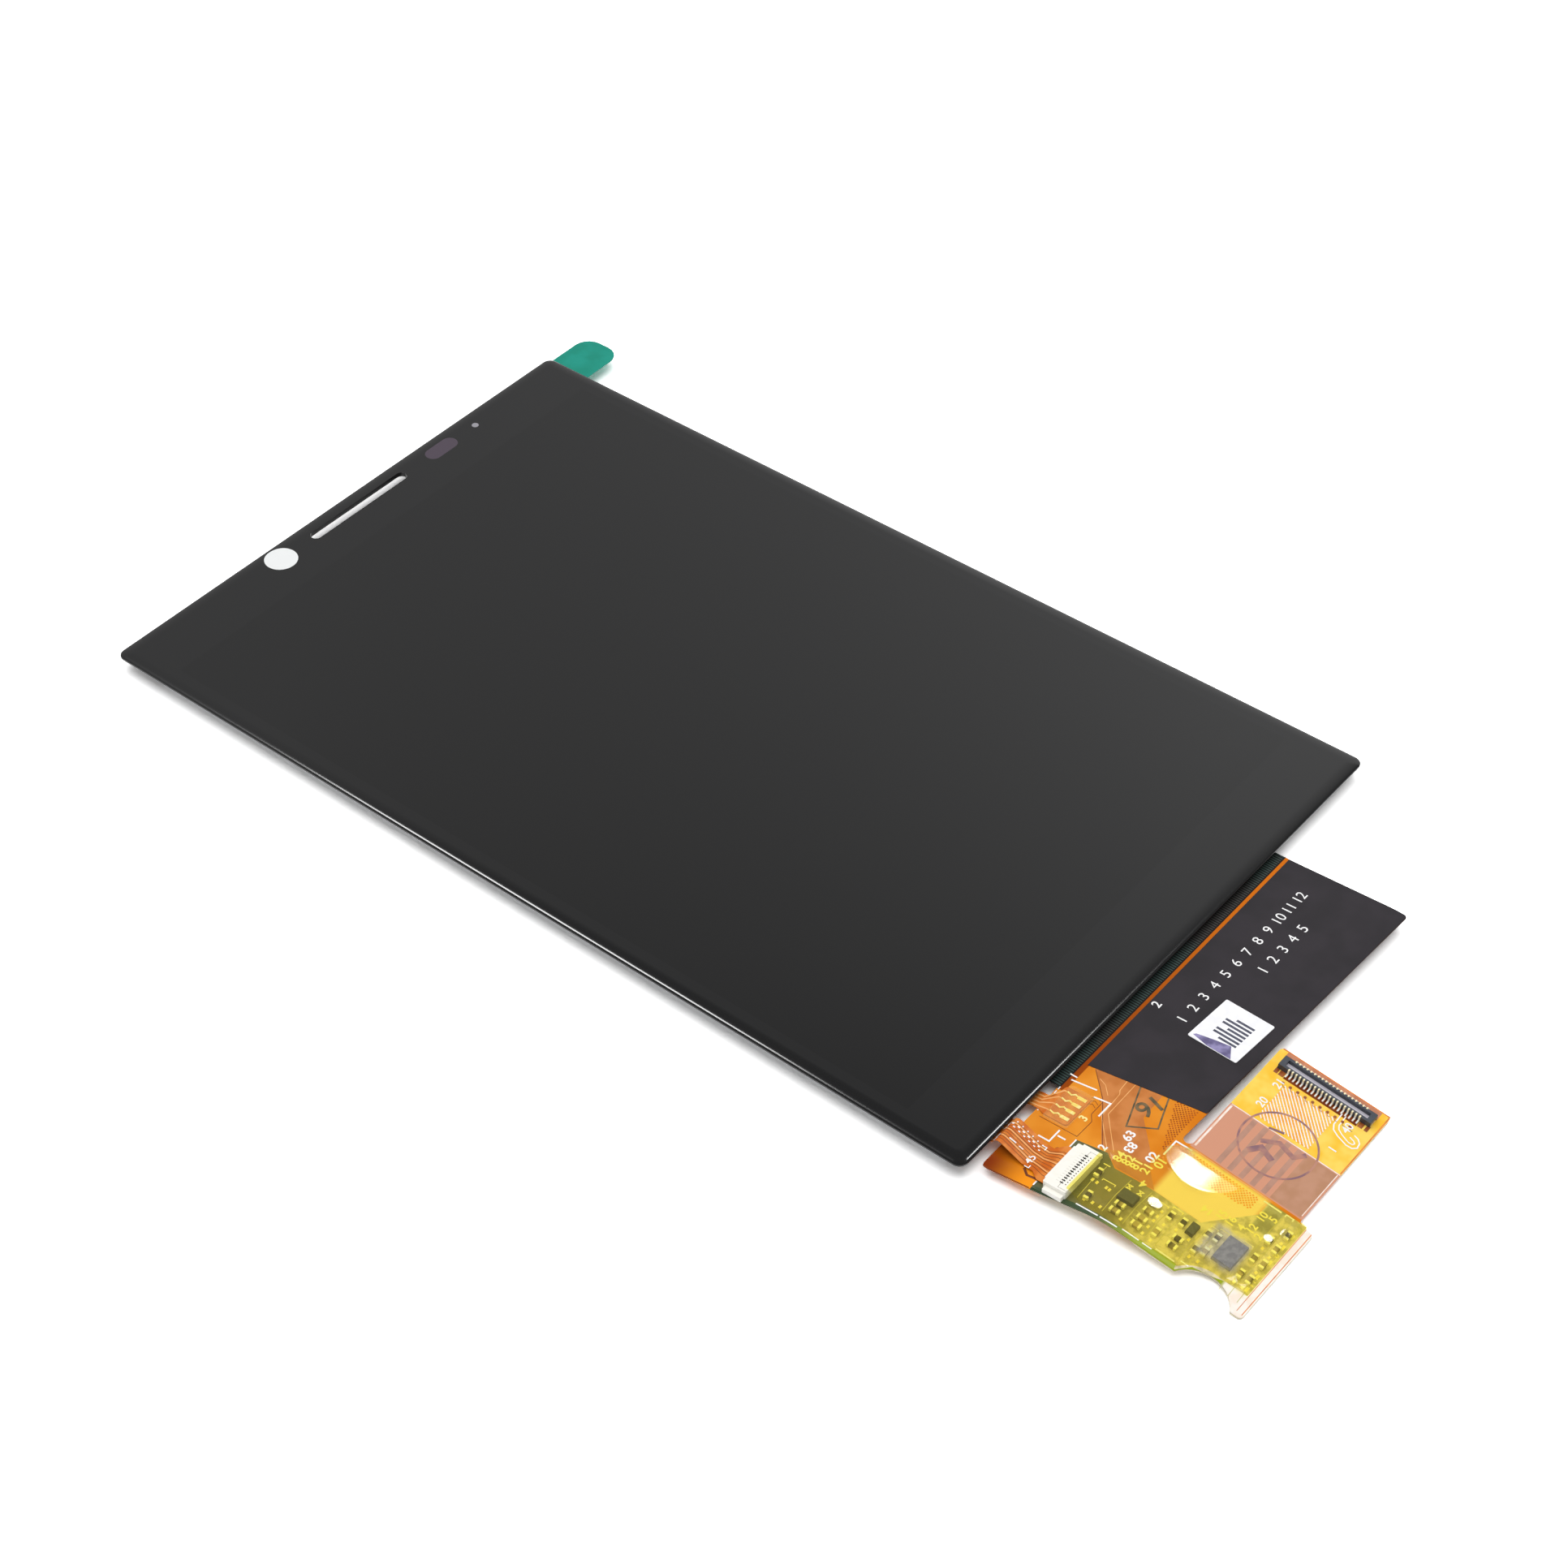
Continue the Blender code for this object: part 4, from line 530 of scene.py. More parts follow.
def rounded_ring(inset, z):
    """The glass outline drawn in by an inset, as points at one height."""
    half_width = GLASS_WIDTH / 2 - inset
    half_length = GLASS_LENGTH / 2 - inset
    radius = GLASS_CORNER - inset * GLASS_CORNER / (GLASS_CORNER + GLASS_SHOULDER)
    points = []
    for quarter, (side, end) in enumerate([(1, 1), (-1, 1), (-1, -1), (1, -1)]):
        x, y = side * (half_width - radius), end * (half_length - radius)
        for k in range(CORNER_STEPS + 1):
            angle = math.radians(90 * (quarter + k / CORNER_STEPS))
            points.append((x + radius * math.cos(angle), y + radius * math.sin(angle), z))
    return points


def earpiece_ring(z):
    radius = EARPIECE_HEIGHT / 2
    points = []
    for side, start in ((1, -90), (-1, 90)):
        x = EARPIECE_X + side * (EARPIECE_WIDTH / 2 - radius)
        for k in range(PILL_STEPS + 1):
            angle = math.radians(start + 180 * k / PILL_STEPS)
            points.append((x + radius * math.cos(angle), OPENINGS_Y + radius * math.sin(angle), z))
    return points


def glass_section():
    """The edge of the glass from its back up, as (inset, z): chamfer, land and a quarter ellipse."""
    land = GLASS_BASE + GLASS_CHAMFER
    side_top = land + GLASS_LAND
    section = [(GLASS_CHAMFER, GLASS_BASE), (0.0, land)]
    for step in range(SHOULDER_STEPS + 1):
        angle = math.radians(90 * step / SHOULDER_STEPS)
        inset = GLASS_SHOULDER * (1 - math.cos(angle))
        section.append((inset, side_top + (GLASS_TOP - side_top) * math.sin(angle)))
    return section


def add_wall(edit, lower, upper):
    for k in range(len(lower)):
        follow = (k + 1) % len(lower)
        edit.faces.new((lower[k], lower[follow], upper[follow], upper[k]))


def cover_glass_mesh():
    """The cover glass again, with a finer shoulder, so that the light runs along it as on the real one."""
    edit = bmesh.new()
    loops = [[edit.verts.new(p) for p in rounded_ring(inset, z)] for inset, z in glass_section()]
    for lower, upper in zip(loops, loops[1:]):
        add_wall(edit, lower, upper)
    foot, top = [[edit.verts.new(p) for p in earpiece_ring(z)] for z in (GLASS_BASE, GLASS_TOP)]
    add_wall(edit, top, foot)
    for rings in ((loops[0], foot), (loops[-1], top)):
        edges = [edit.edges.get((ring[k - 1], ring[k])) for ring in rings for k in range(len(ring))]
        bmesh.ops.triangle_fill(edit, edges=edges, use_beauty=False)
    bmesh.ops.recalc_face_normals(edit, faces=edit.faces)
    mesh = bpy.data.meshes.new("cover_glass_visual")
    edit.to_mesh(mesh)
    edit.free()
    mesh.shade_smooth()
    mesh.set_sharp_from_angle(angle=math.radians(SHARP_ANGLE))
    return mesh


def glass_color(look, x, y, along):
    """Black print, deeper in the display area, with a violet sensor window and a pale indicator."""
    beside = (abs(x - SENSOR_X) - (SENSOR_WIDTH - SENSOR_HEIGHT) / 2).most(0.0)
    sensor = look.distance(beside, along).within(SENSOR_HEIGHT / 2, 0.04)
    dot = look.distance(x - INDICATOR_X, along).within(INDICATOR_DIAMETER / 2, 0.03)
    from_middle = abs(y - (ACTIVE_TOP + ACTIVE_END) / 2)
    active = abs(x).within(ACTIVE_RIGHT, 0.02) * from_middle.within((ACTIVE_TOP - ACTIVE_END) / 2, 0.02)
    base = look.mix(active, (15, 15, 16), (9, 9, 10))
    return look.mix(dot, look.mix(sensor, base, (72, 60, 74)), (150, 148, 155))


def glass_look():
    """Black printed glass, a little rougher on its shoulder, with the camera window painted white as light
    seen through it.
    """
    polish, shoulder_blur, shoulder_fade = 0.035, 0.1, 0.3
    look = Look("cover_glass", (13, 13, 14), polish)
    x, y, _ = look.xyz()
    along = y - OPENINGS_Y
    look.color(glass_color(look, x, y, along))
    outward = (abs(y) - GLASS_LENGTH / 2).most(abs(x) - GLASS_WIDTH / 2)
    shoulder = outward.ramp(-GLASS_SHOULDER, shoulder_fade - GLASS_SHOULDER)
    look.set(look.shader, "Roughness", shoulder * shoulder_blur + polish)
    look.bump(look.noise(0.05, 1.0), 0.004)
    # Painted light: the camera window is a white matte disc that stands for the bright backdrop seen through
    # it.
    window = look.distance(x - LENS_X, along).within(LENS_DIAMETER / 2, 0.02)
    film = look.node("ShaderNodeBsdfDiffuse", {"Color": (236, 238, 238)})
    return look.surface(look.blend(window, look.shader, film))


def make_glass():
    glass = piece("cover_glass_visual", cover_glass_mesh(), glass_look())
    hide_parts("cover_glass")


def dress_layers():
    dress(mottled("black_ink", (14, 14, 14), (18, 18, 18), 0.5, 0.55), "ink_border")
    dress(mottled("ir_ink", (70, 58, 72), (76, 64, 78), 1.0, 0.3), "sensor_window_ink")
    adhesive = film_look("clear_adhesive", (0.96, 0.96, 0.95), (235, 235, 232), 0.12)
    dress(adhesive.bump(adhesive.noise(0.4)), "upper_adhesive", "lower_adhesive")
    sensor = film_look("touch_film", (0.9, 0.92, 0.92), (200, 205, 205), 0.2)
    dress(sensor.bump((sensor.xyz()[0] * 0.2).wave(0.5), 0.004), "touch_sensor")
    polarizer = mottled("polarizer_film", (34, 34, 38), (42, 42, 46), 0.1, 0.12)
    dress(polarizer, "front_polarizer", "rear_polarizer")
    cell = mottled("cell_glass", (96, 106, 104), (118, 128, 126), 0.3, 0.06, stretch=(6.0, 0.2, 1.0))
    dress(cell, "color_filter_glass", "array_glass")
    dress(mottled("driver_silicon", (54, 54, 60), (70, 70, 78), 1.5, 0.2, 0.3), "driver_chip")
    dress(mottled("black_tape", (22, 22, 22), (30, 30, 30), 2.0, 0.6), "rim_tape")


def dress_backlight():
    optic = mottled("optical_film", (226, 228, 233), (238, 240, 242), 0.2, 0.3)
    optic.bump((optic.xyz()[1] * 20.0).wave(0.5), 0.003)
    dress(optic, "diffuser_film", "lower_prism_film", "upper_prism_film")
    guide = mottled("light_guide", (236, 241, 244), (246, 248, 250), 0.3, 0.08, Transmission_Weight=0.5)
    dress(guide, "light_guide")
    dress(mottled("reflector_film", (236, 238, 240), (244, 246, 248), 0.4, 0.12), "reflector_film")
    white = mottled("white_plastic", (228, 228, 223), (236, 236, 232), 0.6, 0.5)
    dress(white.bump(white.noise(6.0), 0.006), "backlight_frame")
    brushed = (0.4, 30.0, 1.0)
    steel = mottled("back_plate_steel", (178, 180, 183), (200, 202, 204), 0.6, 0.34, 1.0, 3.0, brushed)
    dress(steel.bump(steel.noise(2.0, 2.0, (0.3, 30.0, 1.0)), 0.004), "back_plate")


def upper_zones(look, x, y, base):
    """The bare ear, darker by the glass partly as painted shade, the strip by the glass, the field under the
    black film and the ribbed bond, partly painted shade of the glass.
    """
    # The ear runs from deep red by the glass to bright orange: partly its own colour, partly painted shade
    # of the glass.
    ear = x.ramp(-25.5, -31.5) * y.inside(-60.7, -55.0, 0.1) * 0.9
    base = look.mix(ear, base, y.shade(-55.9, -60.4, (118, 20, 0), (255, 156, 26)))
    right = x.ramp(-20.4, -20.2)
    amber = x.shade(-18.0, 16.0, (150, 66, 2), (214, 112, 8))
    base = look.mix(y.ramp(-56.5, -56.4) * right, base, amber)
    base = look.mix(x.ramp(-14.9, -14.5) * y.inside(-69.7, -56.45, 0.05), base, (64, 40, 30))
    # The bond strip is dark green print with painted shade of the glass edge over it.
    plain = look.noise(0.12, 1.0).shade(0.4, 0.6, (62, 62, 60), (58, 76, 72))
    ribs = x.comb(0.3, 0.15, 0.05) * y.ramp(-55.78, -55.72)
    return look.mix(y.ramp(-55.93, -55.87) * right, base, look.mix(ribs, (28, 26, 26), plain))


def lower_zones(look, x, y, base):
    """Open copper under the tape, made pale gold partly as painted sheen of the tape, green rim, thin
    branch, yellow end of the branch and bare foot.
    """
    # Pale gold under the tape's bulge: yellow copper made paler with painted sheen of the tape.
    base = look.mix(x.inside(-25.2, -19.05, 0.3) * y.inside(-77.6, -69.3, 0.4), base, (255, 228, 176))
    side = x.ramp(-30.0, -30.25) * y.ramp(-60.65, -60.75)
    relief = x.ramp(-28.6, -28.8) * y.inside(-79.5, -75.2, 0.05)
    base = look.mix(side.most(relief), base, y.shade(-65.5, -71.5, (50, 70, 44), (158, 172, 34)))
    below = y.ramp(-68.9, -69.1)
    base = look.mix(x.inside(-18.8, -12.3, 0.02) * below, base, (214, 153, 125))
    yellow = look.noise(0.5).shade(0.3, 0.7, (255, 220, 104), (255, 198, 58))
    base = look.mix(x.inside(-12.28, -3.4, 0.03) * below, base, yellow)
    web = y.ramp(-79.1, -79.5) * x.ramp(-28.5, -28.7)
    foot = y.ramp(-81.45, -81.55) * x.ramp(-18.9, -19.1)
    pale = look.noise(0.8).shade(0.4, 0.6, (252, 247, 238), (252, 236, 220))
    return look.mix(web.most(foot), base, pale)


def flex_look():
    """Amber film over copper, with the zones of the circuit laid over it."""
    look = Look("flex_polyimide", (226, 132, 42), 0.16, Specular_IOR_Level=0.1)
    x, y, _ = look.xyz()
    base = look.noise(0.16, 3.0).shade(0.3, 0.7, (216, 122, 18), (236, 152, 48))
    base = lower_zones(look, x, y, upper_zones(look, x, y, base))
    return look.color(base).bump(look.noise(0.35), 0.03)


# The round bulge of the yellow tape, its slope in mm for each mm, and its bubbles of (x, y, width, length)
BULGE_X, BULGE_Y, BULGE_RISE, BULGE_LEAN = -18.9, -71.3, 0.175, 0.02
BUBBLES = ((-26.5, -70.4, 1.0, 1.5), (-22.8, -79.8, 0.8, 0.9), (-21.4, -80.6, 0.9, 0.8))
MEMORY_X, MEMORY_Y = -26.3, -77.6


def tape_glare(look):
    """1 in the curved bands of the tape that shine white, and 1 in the whole bulge that carries them."""
    x, y, _ = look.xyz()
    away = look.distance(x - BULGE_X, y - BULGE_Y)
    edge = away.inside(3.7, 4.0, 0.12) * y.ramp(-73.9, -72.5)
    broad = away.inside(1.5, 3.75, 0.5) * y.ramp(-73.6, -71.6) * x.ramp(-18.2, -19.2)
    return edge.most(broad), away.ramp(4.3, 3.95)


def tape_relief(look, bulge):
    """Height of the bulge and of the bubbles that face the light, and 1 where bubbles are."""
    x, y, _ = look.xyz()
    slope = (y - BULGE_Y) * BULGE_RISE + (x - BULGE_X) * BULGE_LEAN
    height = look.noise(0.35, 1.0) * 0.035 + bulge * slope
    glints = 0.0
    for place_x, place_y, width, length in BUBBLES:
        across = (x - place_x) / (width / 2)
        along = y - place_y
        share = along / (length / 2)
        here = (across * across + share * share).ramp(1.3, 0.8)
        height = height + here * along * BULGE_RISE
        glints = here.most(glints)
    return height, glints


def tape_look():
    """Clear yellow tape with a shine, hazy over the memory chip partly as painted reflection, with a corner
    cut out by the connector.
    """
    look = Look("polyimide_tape", (250, 220, 60), 0.5, Specular_IOR_Level=0.0)
    x, y, _ = look.xyz()
    from_memory = abs(x - MEMORY_X).most(abs(y - MEMORY_Y))
    # The whitish haze round the memory chip is partly the tape's own haze and partly painted reflection.
    haze_and_reflection = (from_memory + look.noise(0.8)).ramp(2.8, 1.9)
    look.color(look.mix(haze_and_reflection, (250, 222, 70), (190, 188, 186)))
    share = haze_and_reflection * (0.3 - from_memory.ramp(1.75, 1.45) * 0.24) + 0.02
    clear = look.clear(look.mix(haze_and_reflection, (1.0, 0.98, 0.68), (0.98, 0.98, 0.92)))
    glare, bulge = tape_glare(look)
    height, glints = tape_relief(look, bulge)
    shine = look.node("ShaderNodeBsdfAnisotropic", {"Roughness": 0.2, "Normal": look.normal(height, 1.0)})
    amount = 0.03 - bulge * 0.018 + glare.most(glints) * 0.12
    tape = look.blend(amount, look.blend(share, clear, look.shader), shine)
    cut_out = x.ramp(-23.42, -23.38) * y.ramp(-67.62, -67.58)
    return look.surface(look.blend(cut_out, tape, look.clear()))


def chip_look(name, axis):
    """Chip ceramic with tinned ends. The ends lie along axis 0 or 1 of the chip's own box."""
    look = Look(name, (150, 120, 80), 0.35)
    parts = look.split(look.node("ShaderNodeTexCoord").outputs["Generated"])
    ends = abs(parts[axis] - 0.5).ramp(0.245, 0.255)
    body = look.noise(0.6, 1.0).shade(0.4, 0.6, (66, 56, 34), (186, 166, 116))
    look.color(look.mix(ends, body, (255, 250, 200)))
    look.set(look.shader, "Metallic", ends * 0.08)
    return look.bump(look.noise(8.0))


def dress_chips():
    along_x, along_y = chip_look("chip_along_x", 0), chip_look("chip_along_y", 1)
    for name in NODES:
        if name.startswith("chip_"):
            low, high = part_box(name)
            dress(along_x if high.x - low.x > high.y - low.y else along_y, name)
    package = mottled("chip_package", (66, 68, 74), (80, 82, 88), 4.0, 0.45)
    dress(package.bump(package.noise(10.0)), "diode_array", "load_switch")
    # The memory chip's package is painted grey-violet: its dark colour lightened by painted reflection of
    # the tape over it.
    dress(mottled("memory_package_and_reflection", (114, 111, 126), (142, 139, 152), 2.2, 0.45), "memory_chip")


def dress_circuits():
    dress(flex_look(), "main_flex")
    tail = mottled("tail_polyimide", (206, 104, 32), (226, 138, 62), 0.8, 0.3, Specular_IOR_Level=0.1)
    dress(tail.bump(tail.noise(1.0)), "touch_tail", "led_strip")
    shield = mottled("black_shield_film", (35, 31, 36), (42, 37, 43), 0.25, 0.4, Specular_IOR_Level=0.3)
    dress(shield.bump(shield.noise(1.2, 3.0), 0.006), "shield_film")
    under = mottled("stiffener", (210, 196, 160), (226, 214, 184), 0.8, 0.5)
    dress(under, "zif_stiffener", "board_stiffener", "plug_stiffener")
    dress(zif_look(), "zif_housing", "zif_lock")
    dress(connector_look(), "board_connector")
    paper = mottled("label_paper", (246, 246, 249), (252, 252, 254), 1.0, 0.6)
    dress(paper.bump(paper.noise(8.0, 4.0), 0.008), "code_label")
    tab = mottled("green_tab", (10, 138, 118), (20, 148, 130), 0.4, 0.35, Specular_IOR_Level=0.2)
    dress(tab.bump(tab.noise(0.6), 0.02), "pull_tab")
    dress(tape_look(), "component_tape")
    small = film_look("pad_tape_film", (1.0, 0.98, 0.86), (250, 232, 170), 0.08)
    dress(small.bump(small.noise(0.8), 0.02), "pad_tape")


def zif_look():
    """Ivory moulding, dark in its slits and dots, tan with painted shade in a sunk band, with tinned contact
    tails at its front.
    """
    look = Look("ivory_plastic", (250, 248, 238), 0.4)
    x, y, z = look.local(FLEX.place(ZIF_X, ZIF_V, FLEX_THICKNESS + SOLDER_GAP))
    middle = abs(x).ramp(2.12, 2.08)
    sunk = middle * z.ramp(ZIF_HEIGHT - 0.01, ZIF_HEIGHT - 0.03)
    base = look.mix(look.noise(1.5), (246, 243, 230), (254, 252, 246))
    base = look.mix(sunk * (y - ZIF_LOCK_FRONT).inside(-0.21, 0.21), base, (62, 52, 44))
    # Painted shade: a tan band where the sunk moulding lies in shade.
    base = look.mix(sunk * y.inside(-0.83, -0.65), base, (150, 118, 92))
    ticks = middle * x.comb(ZIF_PITCH, 0.06) * y.inside(0.0, 0.28) * 0.5
    base = look.mix(ticks, base, (200, 192, 180))
    tails = y.ramp(ZIF_DEPTH / 2 - 0.02, ZIF_DEPTH / 2 + 0.02)
    return look.color(look.mix(tails, base, (150, 128, 96))).bump(look.noise(6.0), 0.006)


def connector_look():
    """Black moulding with gilt caps and tinned tails, told apart by where they stand in the connector, and a
    pale cavity floor of painted light.
    """
    row_end, cap_reach, floor_wall = 3.92, 0.145, 0.3
    look = Look("black_plastic", (46, 50, 54), 0.35)
    x, y, z = look.local(FLEX.place(PLUG_X, PLUG_V, FLEX_THICKNESS + SOLDER_GAP))
    outward = abs(x) - PLUG_WIDTH / 2
    rows = (y + CONTACT_PITCH / 2).comb(CONTACT_PITCH, CONTACT_WIDTH + 0.02) * abs(y).within(row_end)
    on_top = z.ramp(PLUG_HEIGHT + 0.005, PLUG_HEIGHT + 0.015)
    cap = outward.ramp(-cap_reach - 0.005, 0.005 - cap_reach) * on_top
    metal = rows * outward.ramp(0.005, 0.015).most(cap)
    body = look.mix(look.noise(2.0), (54, 59, 68), (72, 77, 86))
    # Painted light: the floor of the cavity is made pale so that it reads as lit inside its shade.
    body = look.mix(outward.within(-floor_wall) * z.ramp(0.2, 0.18), body, (206, 202, 212))
    tin = z.shade(0.42, 0.5, (250, 248, 240), (252, 240, 200))
    look.set(look.shader, "Metallic", metal * 0.1)
    return look.color(look.mix(metal, body, tin))


WHITE_INK = mottled("white_ink", (244, 244, 244), (252, 252, 252), 6.0, 0.5)
YELLOW_INK = mottled("covered_ink", (250, 234, 140), (254, 246, 170), 6.0, 0.5)
DARK_TRACE = ink("dark_trace", (112, 56, 30), (132, 72, 40), 1.0)
LIGHT_TRACE = ink("light_trace", (236, 168, 98), (244, 186, 120), 1.0, 0.35)
BROWN_RIM = ink("brown_rim", (112, 46, 8), (134, 62, 16), 1.0)
GILT = mottled("gilt_pad", (252, 230, 120), (255, 246, 180), 3.0, 0.3, 0.1)


def board_mask_look():
    """Solder mask, dark green at the connector and paler down the board, with blotches of copper below."""
    look = Look("board_mask", (110, 108, 60), 0.4)
    x, y, _ = look.xyz()
    base = y.shade(-63.2, -66.0, (74, 84, 52), (130, 120, 76))
    base = look.mix(y.ramp(-67.6, -72.0), base, (230, 216, 172))
    corner = x.ramp(-22.6, -22.2) * y.ramp(-77.6, -77.9) * y.ramp(-79.6, -79.2) * 0.7
    base = look.mix(corner, base, (134, 136, 104))
    blotch = look.noise(1.1, 3.0).ramp(0.42, 0.62) * 0.45
    return look.color(look.mix(blotch, base, (112, 106, 52)))


def rim_mask_look():
    look = Look("rim_mask", (70, 92, 48), 0.35)
    return look.color(look.xyz()[1].shade(-66.0, -72.0, (52, 74, 44), (160, 176, 40)))


def print_masks():
    area = Print("mask")
    area.area(
        (-31.35, -60.7), (-24.4, -60.7), (-24.0, -63.8), (-25.15, -65.3), (-25.1, -74.4), (-20.9, -77.7),
        (-19.15, -77.7), (-19.15, -81.6), (-28.7, -81.6), (-28.8, -79.3), (-29.1, -78.4), (-29.5, -76.4),
        (-30.75, -75.4), (-30.8, -70.0),
    )
    area.done("board_mask", board_mask_look())
    edge = Print("rim_mask")
    edge.area(
        (-31.3, -61.0), (-31.05, -61.0), (-30.4, -66.0), (-30.2, -75.2), (-30.75, -75.35), (-30.8, -70.0),
    )
    edge.done("rim_mask", rim_mask_look())


def print_white_marks():
    """Corner marks round the connectors and dashes along the rim."""
    marks = Print("mark")
    marks.box(-31.05, -30.5, -60.76, -60.62)
    marks.box(-25.45, -24.4, -60.76, -60.62)
    dashes = (
        (-30.54, -64.9, -67.2), (-30.54, -67.4, -69.2), (-30.38, -69.65, -71.4),
        (-30.38, -71.75, -72.75), (-30.1, -73.0, -74.95), (-29.65, -75.3, -76.1),
    )
    for x, top, foot in dashes:
        marks.box(x - 0.07, x + 0.07, foot, top)
    marks.line(0.17, (-18.68, -56.15), (-18.35, -58.75))
    marks.line(0.17, (-26.0, -57.65), (-26.0, -58.85), (-24.35, -58.85))
    marks.line(0.17, (-19.2, -58.97), (-18.98, -60.67), (-20.9, -60.67))
    marks.line(0.17, (-21.2, -67.82), (-19.2, -67.82), (-19.2, -69.5))
    marks.box(-19.45, -19.28, -79.1, -77.25)
    marks.line(0.12, (-19.5, -79.55), (-19.25, -79.55), (-19.25, -80.3), (-19.5, -80.3))
    for x in (-23.4, -22.1, -20.8, -20.2):
        marks.box(x - 0.2, x + 0.2, -55.92, -55.82)
    marks.disc(-23.0, -55.8, 0.3)
    marks.done("white_marks", WHITE_INK)


def print_covered_marks():
    marks = Print("mark")
    brackets = [(-26.75, -65.2, -66.5, 0.2), (-25.7, -69.6, -71.4, 0.2), (-25.35, -71.7, -72.7, 0.2)]
    brackets += [(-24.75, -75.3, -76.0, 0.15), (-24.45, -76.1, -77.0, 0.15), (-24.1, -78.3, -79.2, 0.15)]
    for x, top, foot, arm in brackets:
        marks.line(0.09, (x - arm, top), (x, top), (x, foot), (x - arm, foot))
    for v in (-67.55, -68.7):
        marks.line(0.1, (-26.4, v + 0.25), (-25.9, v - 0.25))
        marks.line(0.1, (-26.4, v - 0.25), (-25.9, v + 0.25))
        marks.box(-26.42, -26.32, v - 0.28, v + 0.28)
        marks.box(-25.98, -25.88, v - 0.28, v + 0.28)
    marks.box(-25.3, -25.18, -64.9, -64.2)
    for x in (-28.2, -26.5, -24.5, -22.4, -20.9):
        marks.box(x - 0.28, x + 0.28, -81.36, -81.08)
    marks.done("covered_marks", YELLOW_INK)


def print_board_numbers():
    """Plain numbers beside the components, white where bare and yellow under the tape."""
    bare = (
        ("1", -18.15, -56.1, 0.9), ("1", -25.0, -59.55, 1.0), ("2", -23.75, -63.1, 1.0),
        ("63", -21.2, -64.2, 1.1), ("83", -22.3, -65.0, 1.1, 180), ("02", -22.1, -67.25, 1.1),
    )
    write_all("bare_number", bare, WHITE_INK, bold=0.03)
    under = (
        ("3", -21.9, -59.75, 1.0), ("84", -23.75, -64.9, 1.05), ("82", -23.65, -65.75, 1.05),
        ("81", -23.6, -66.6, 1.05), ("21", -23.5, -67.6, 1.05), ("4", -25.1, -68.3, 1.0, 90),
        ("01", -22.2, -68.2, 1.05), ("14", -23.65, -74.1, 0.95, 90), ("15", -23.2, -75.35, 0.95),
        ("16", -23.2, -76.3, 0.95), ("4", -23.1, -77.35, 0.95), ("12", -22.6, -78.1, 0.95),
        ("10", -20.9, -78.1, 0.95), ("2", -22.9, -79.0, 0.95), ("5", -20.5, -79.0, 0.95),
        ("11", -27.35, -81.15, 0.8), ("9", -25.5, -81.15, 0.8), ("8", -23.5, -81.15, 0.8),
    )
    write_all("covered_number", under, YELLOW_INK, bold=0.03)


def print_small_pads():
    """Small bare pads between the components, each a leaning four-sided patch."""
    pads = Print("small_pad")
    spots = (
        (-29.7, -65.2), (-29.6, -66.0), (-29.6, -66.8), (-27.4, -64.5), (-27.45, -65.0), (-27.45, -66.0),
        (-27.5, -66.35), (-29.6, -68.95), (-29.55, -71.2), (-28.65, -71.2), (-27.8, -71.2), (-27.2, -71.2),
        (-26.5, -71.2), (-29.7, -72.15), (-27.55, -72.1), (-27.25, -73.2), (-26.7, -74.55), (-25.95, -74.55),
        (-27.35, -74.6), (-28.8, -75.6), (-26.9, -75.6), (-28.7, -76.45), (-26.65, -76.45), (-23.7, -79.9),
        (-28.3, -79.95), (-28.3, -80.8), (-26.2, -80.85), (-24.1, -80.85), (-22.15, -80.85),
    )
    for x, v in spots:
        pads.area((x - 0.2, v - 0.12), (x + 0.14, v - 0.14), (x + 0.2, v + 0.1), (x - 0.14, v + 0.14))
    pads.done("small_pads", GILT)


def print_seams():
    seams = Print("seam")
    low_rows = (-79.4, -80.35, -81.3)
    for v in (-64.6, -67.2, -69.35, -71.65, -72.75, -75.1, -76.0) + low_rows:
        seams.line(0.06, (-29.9, v), (-27.6, v + 0.1), (-25.4, v - 0.05))
    columns = ((-28.85, -69.5, -71.4), (-27.9, -69.5, -71.4), (-26.85, -69.4, -71.2), (-28.3, -73.0, -74.7))
    for x, top, foot in columns:
        seams.line(0.06, (x, top), (x, foot))
    for v in low_rows:
        seams.line(0.06, (-25.0, v), (-22.5, v + 0.05), (-19.8, v))
    seams.done("mask_seams", mottled("mask_seam", (198, 188, 108), (214, 204, 134), 1.0, 0.4))


def print_copper():
    """The broad brown copper field and the traces that fan out beside it."""
    field = Print("field")
    field.area(
        (-16.2, -57.05), (-18.6, -59.4), (-23.8, -62.95), (-24.1, -64.0), (-25.0, -65.3), (-25.05, -69.4),
        (-23.2, -67.7), (-21.9, -67.0), (-18.6, -63.95), (-15.35, -63.85),
    )
    field.done("copper_field", ink("copper_field", (194, 116, 54), (208, 132, 70), 0.5, 0.3))
    light = Print("trace")
    light.line(0.07, (-15.7, -61.15), (-20.15, -61.2), (-23.6, -64.15))
    light.line(0.07, (-15.8, -60.3), (-17.1, -60.4), (-17.5, -60.65), (-20.7, -60.85), (-23.75, -63.55))
    light.line(0.06, (-17.0, -58.15), (-17.35, -59.0), (-18.3, -59.9))
    light.done("light_traces", LIGHT_TRACE)
    dark = Print("trace")
    dark.line(0.07, (-16.3, -57.2), (-18.9, -59.75), (-23.55, -62.9))
    dark.line(0.06, (-24.05, -56.4), (-24.05, -60.5), (-21.8, -60.55), (-21.05, -60.0), (-19.25, -60.0))
    for k in range(3):
        reach = 0.45 * k
        dark.line(0.05, (-20.3 + reach, -58.9), (-20.0 + reach, -59.4), (-20.25 + reach, -59.85))
    dark.done("dark_traces", DARK_TRACE)


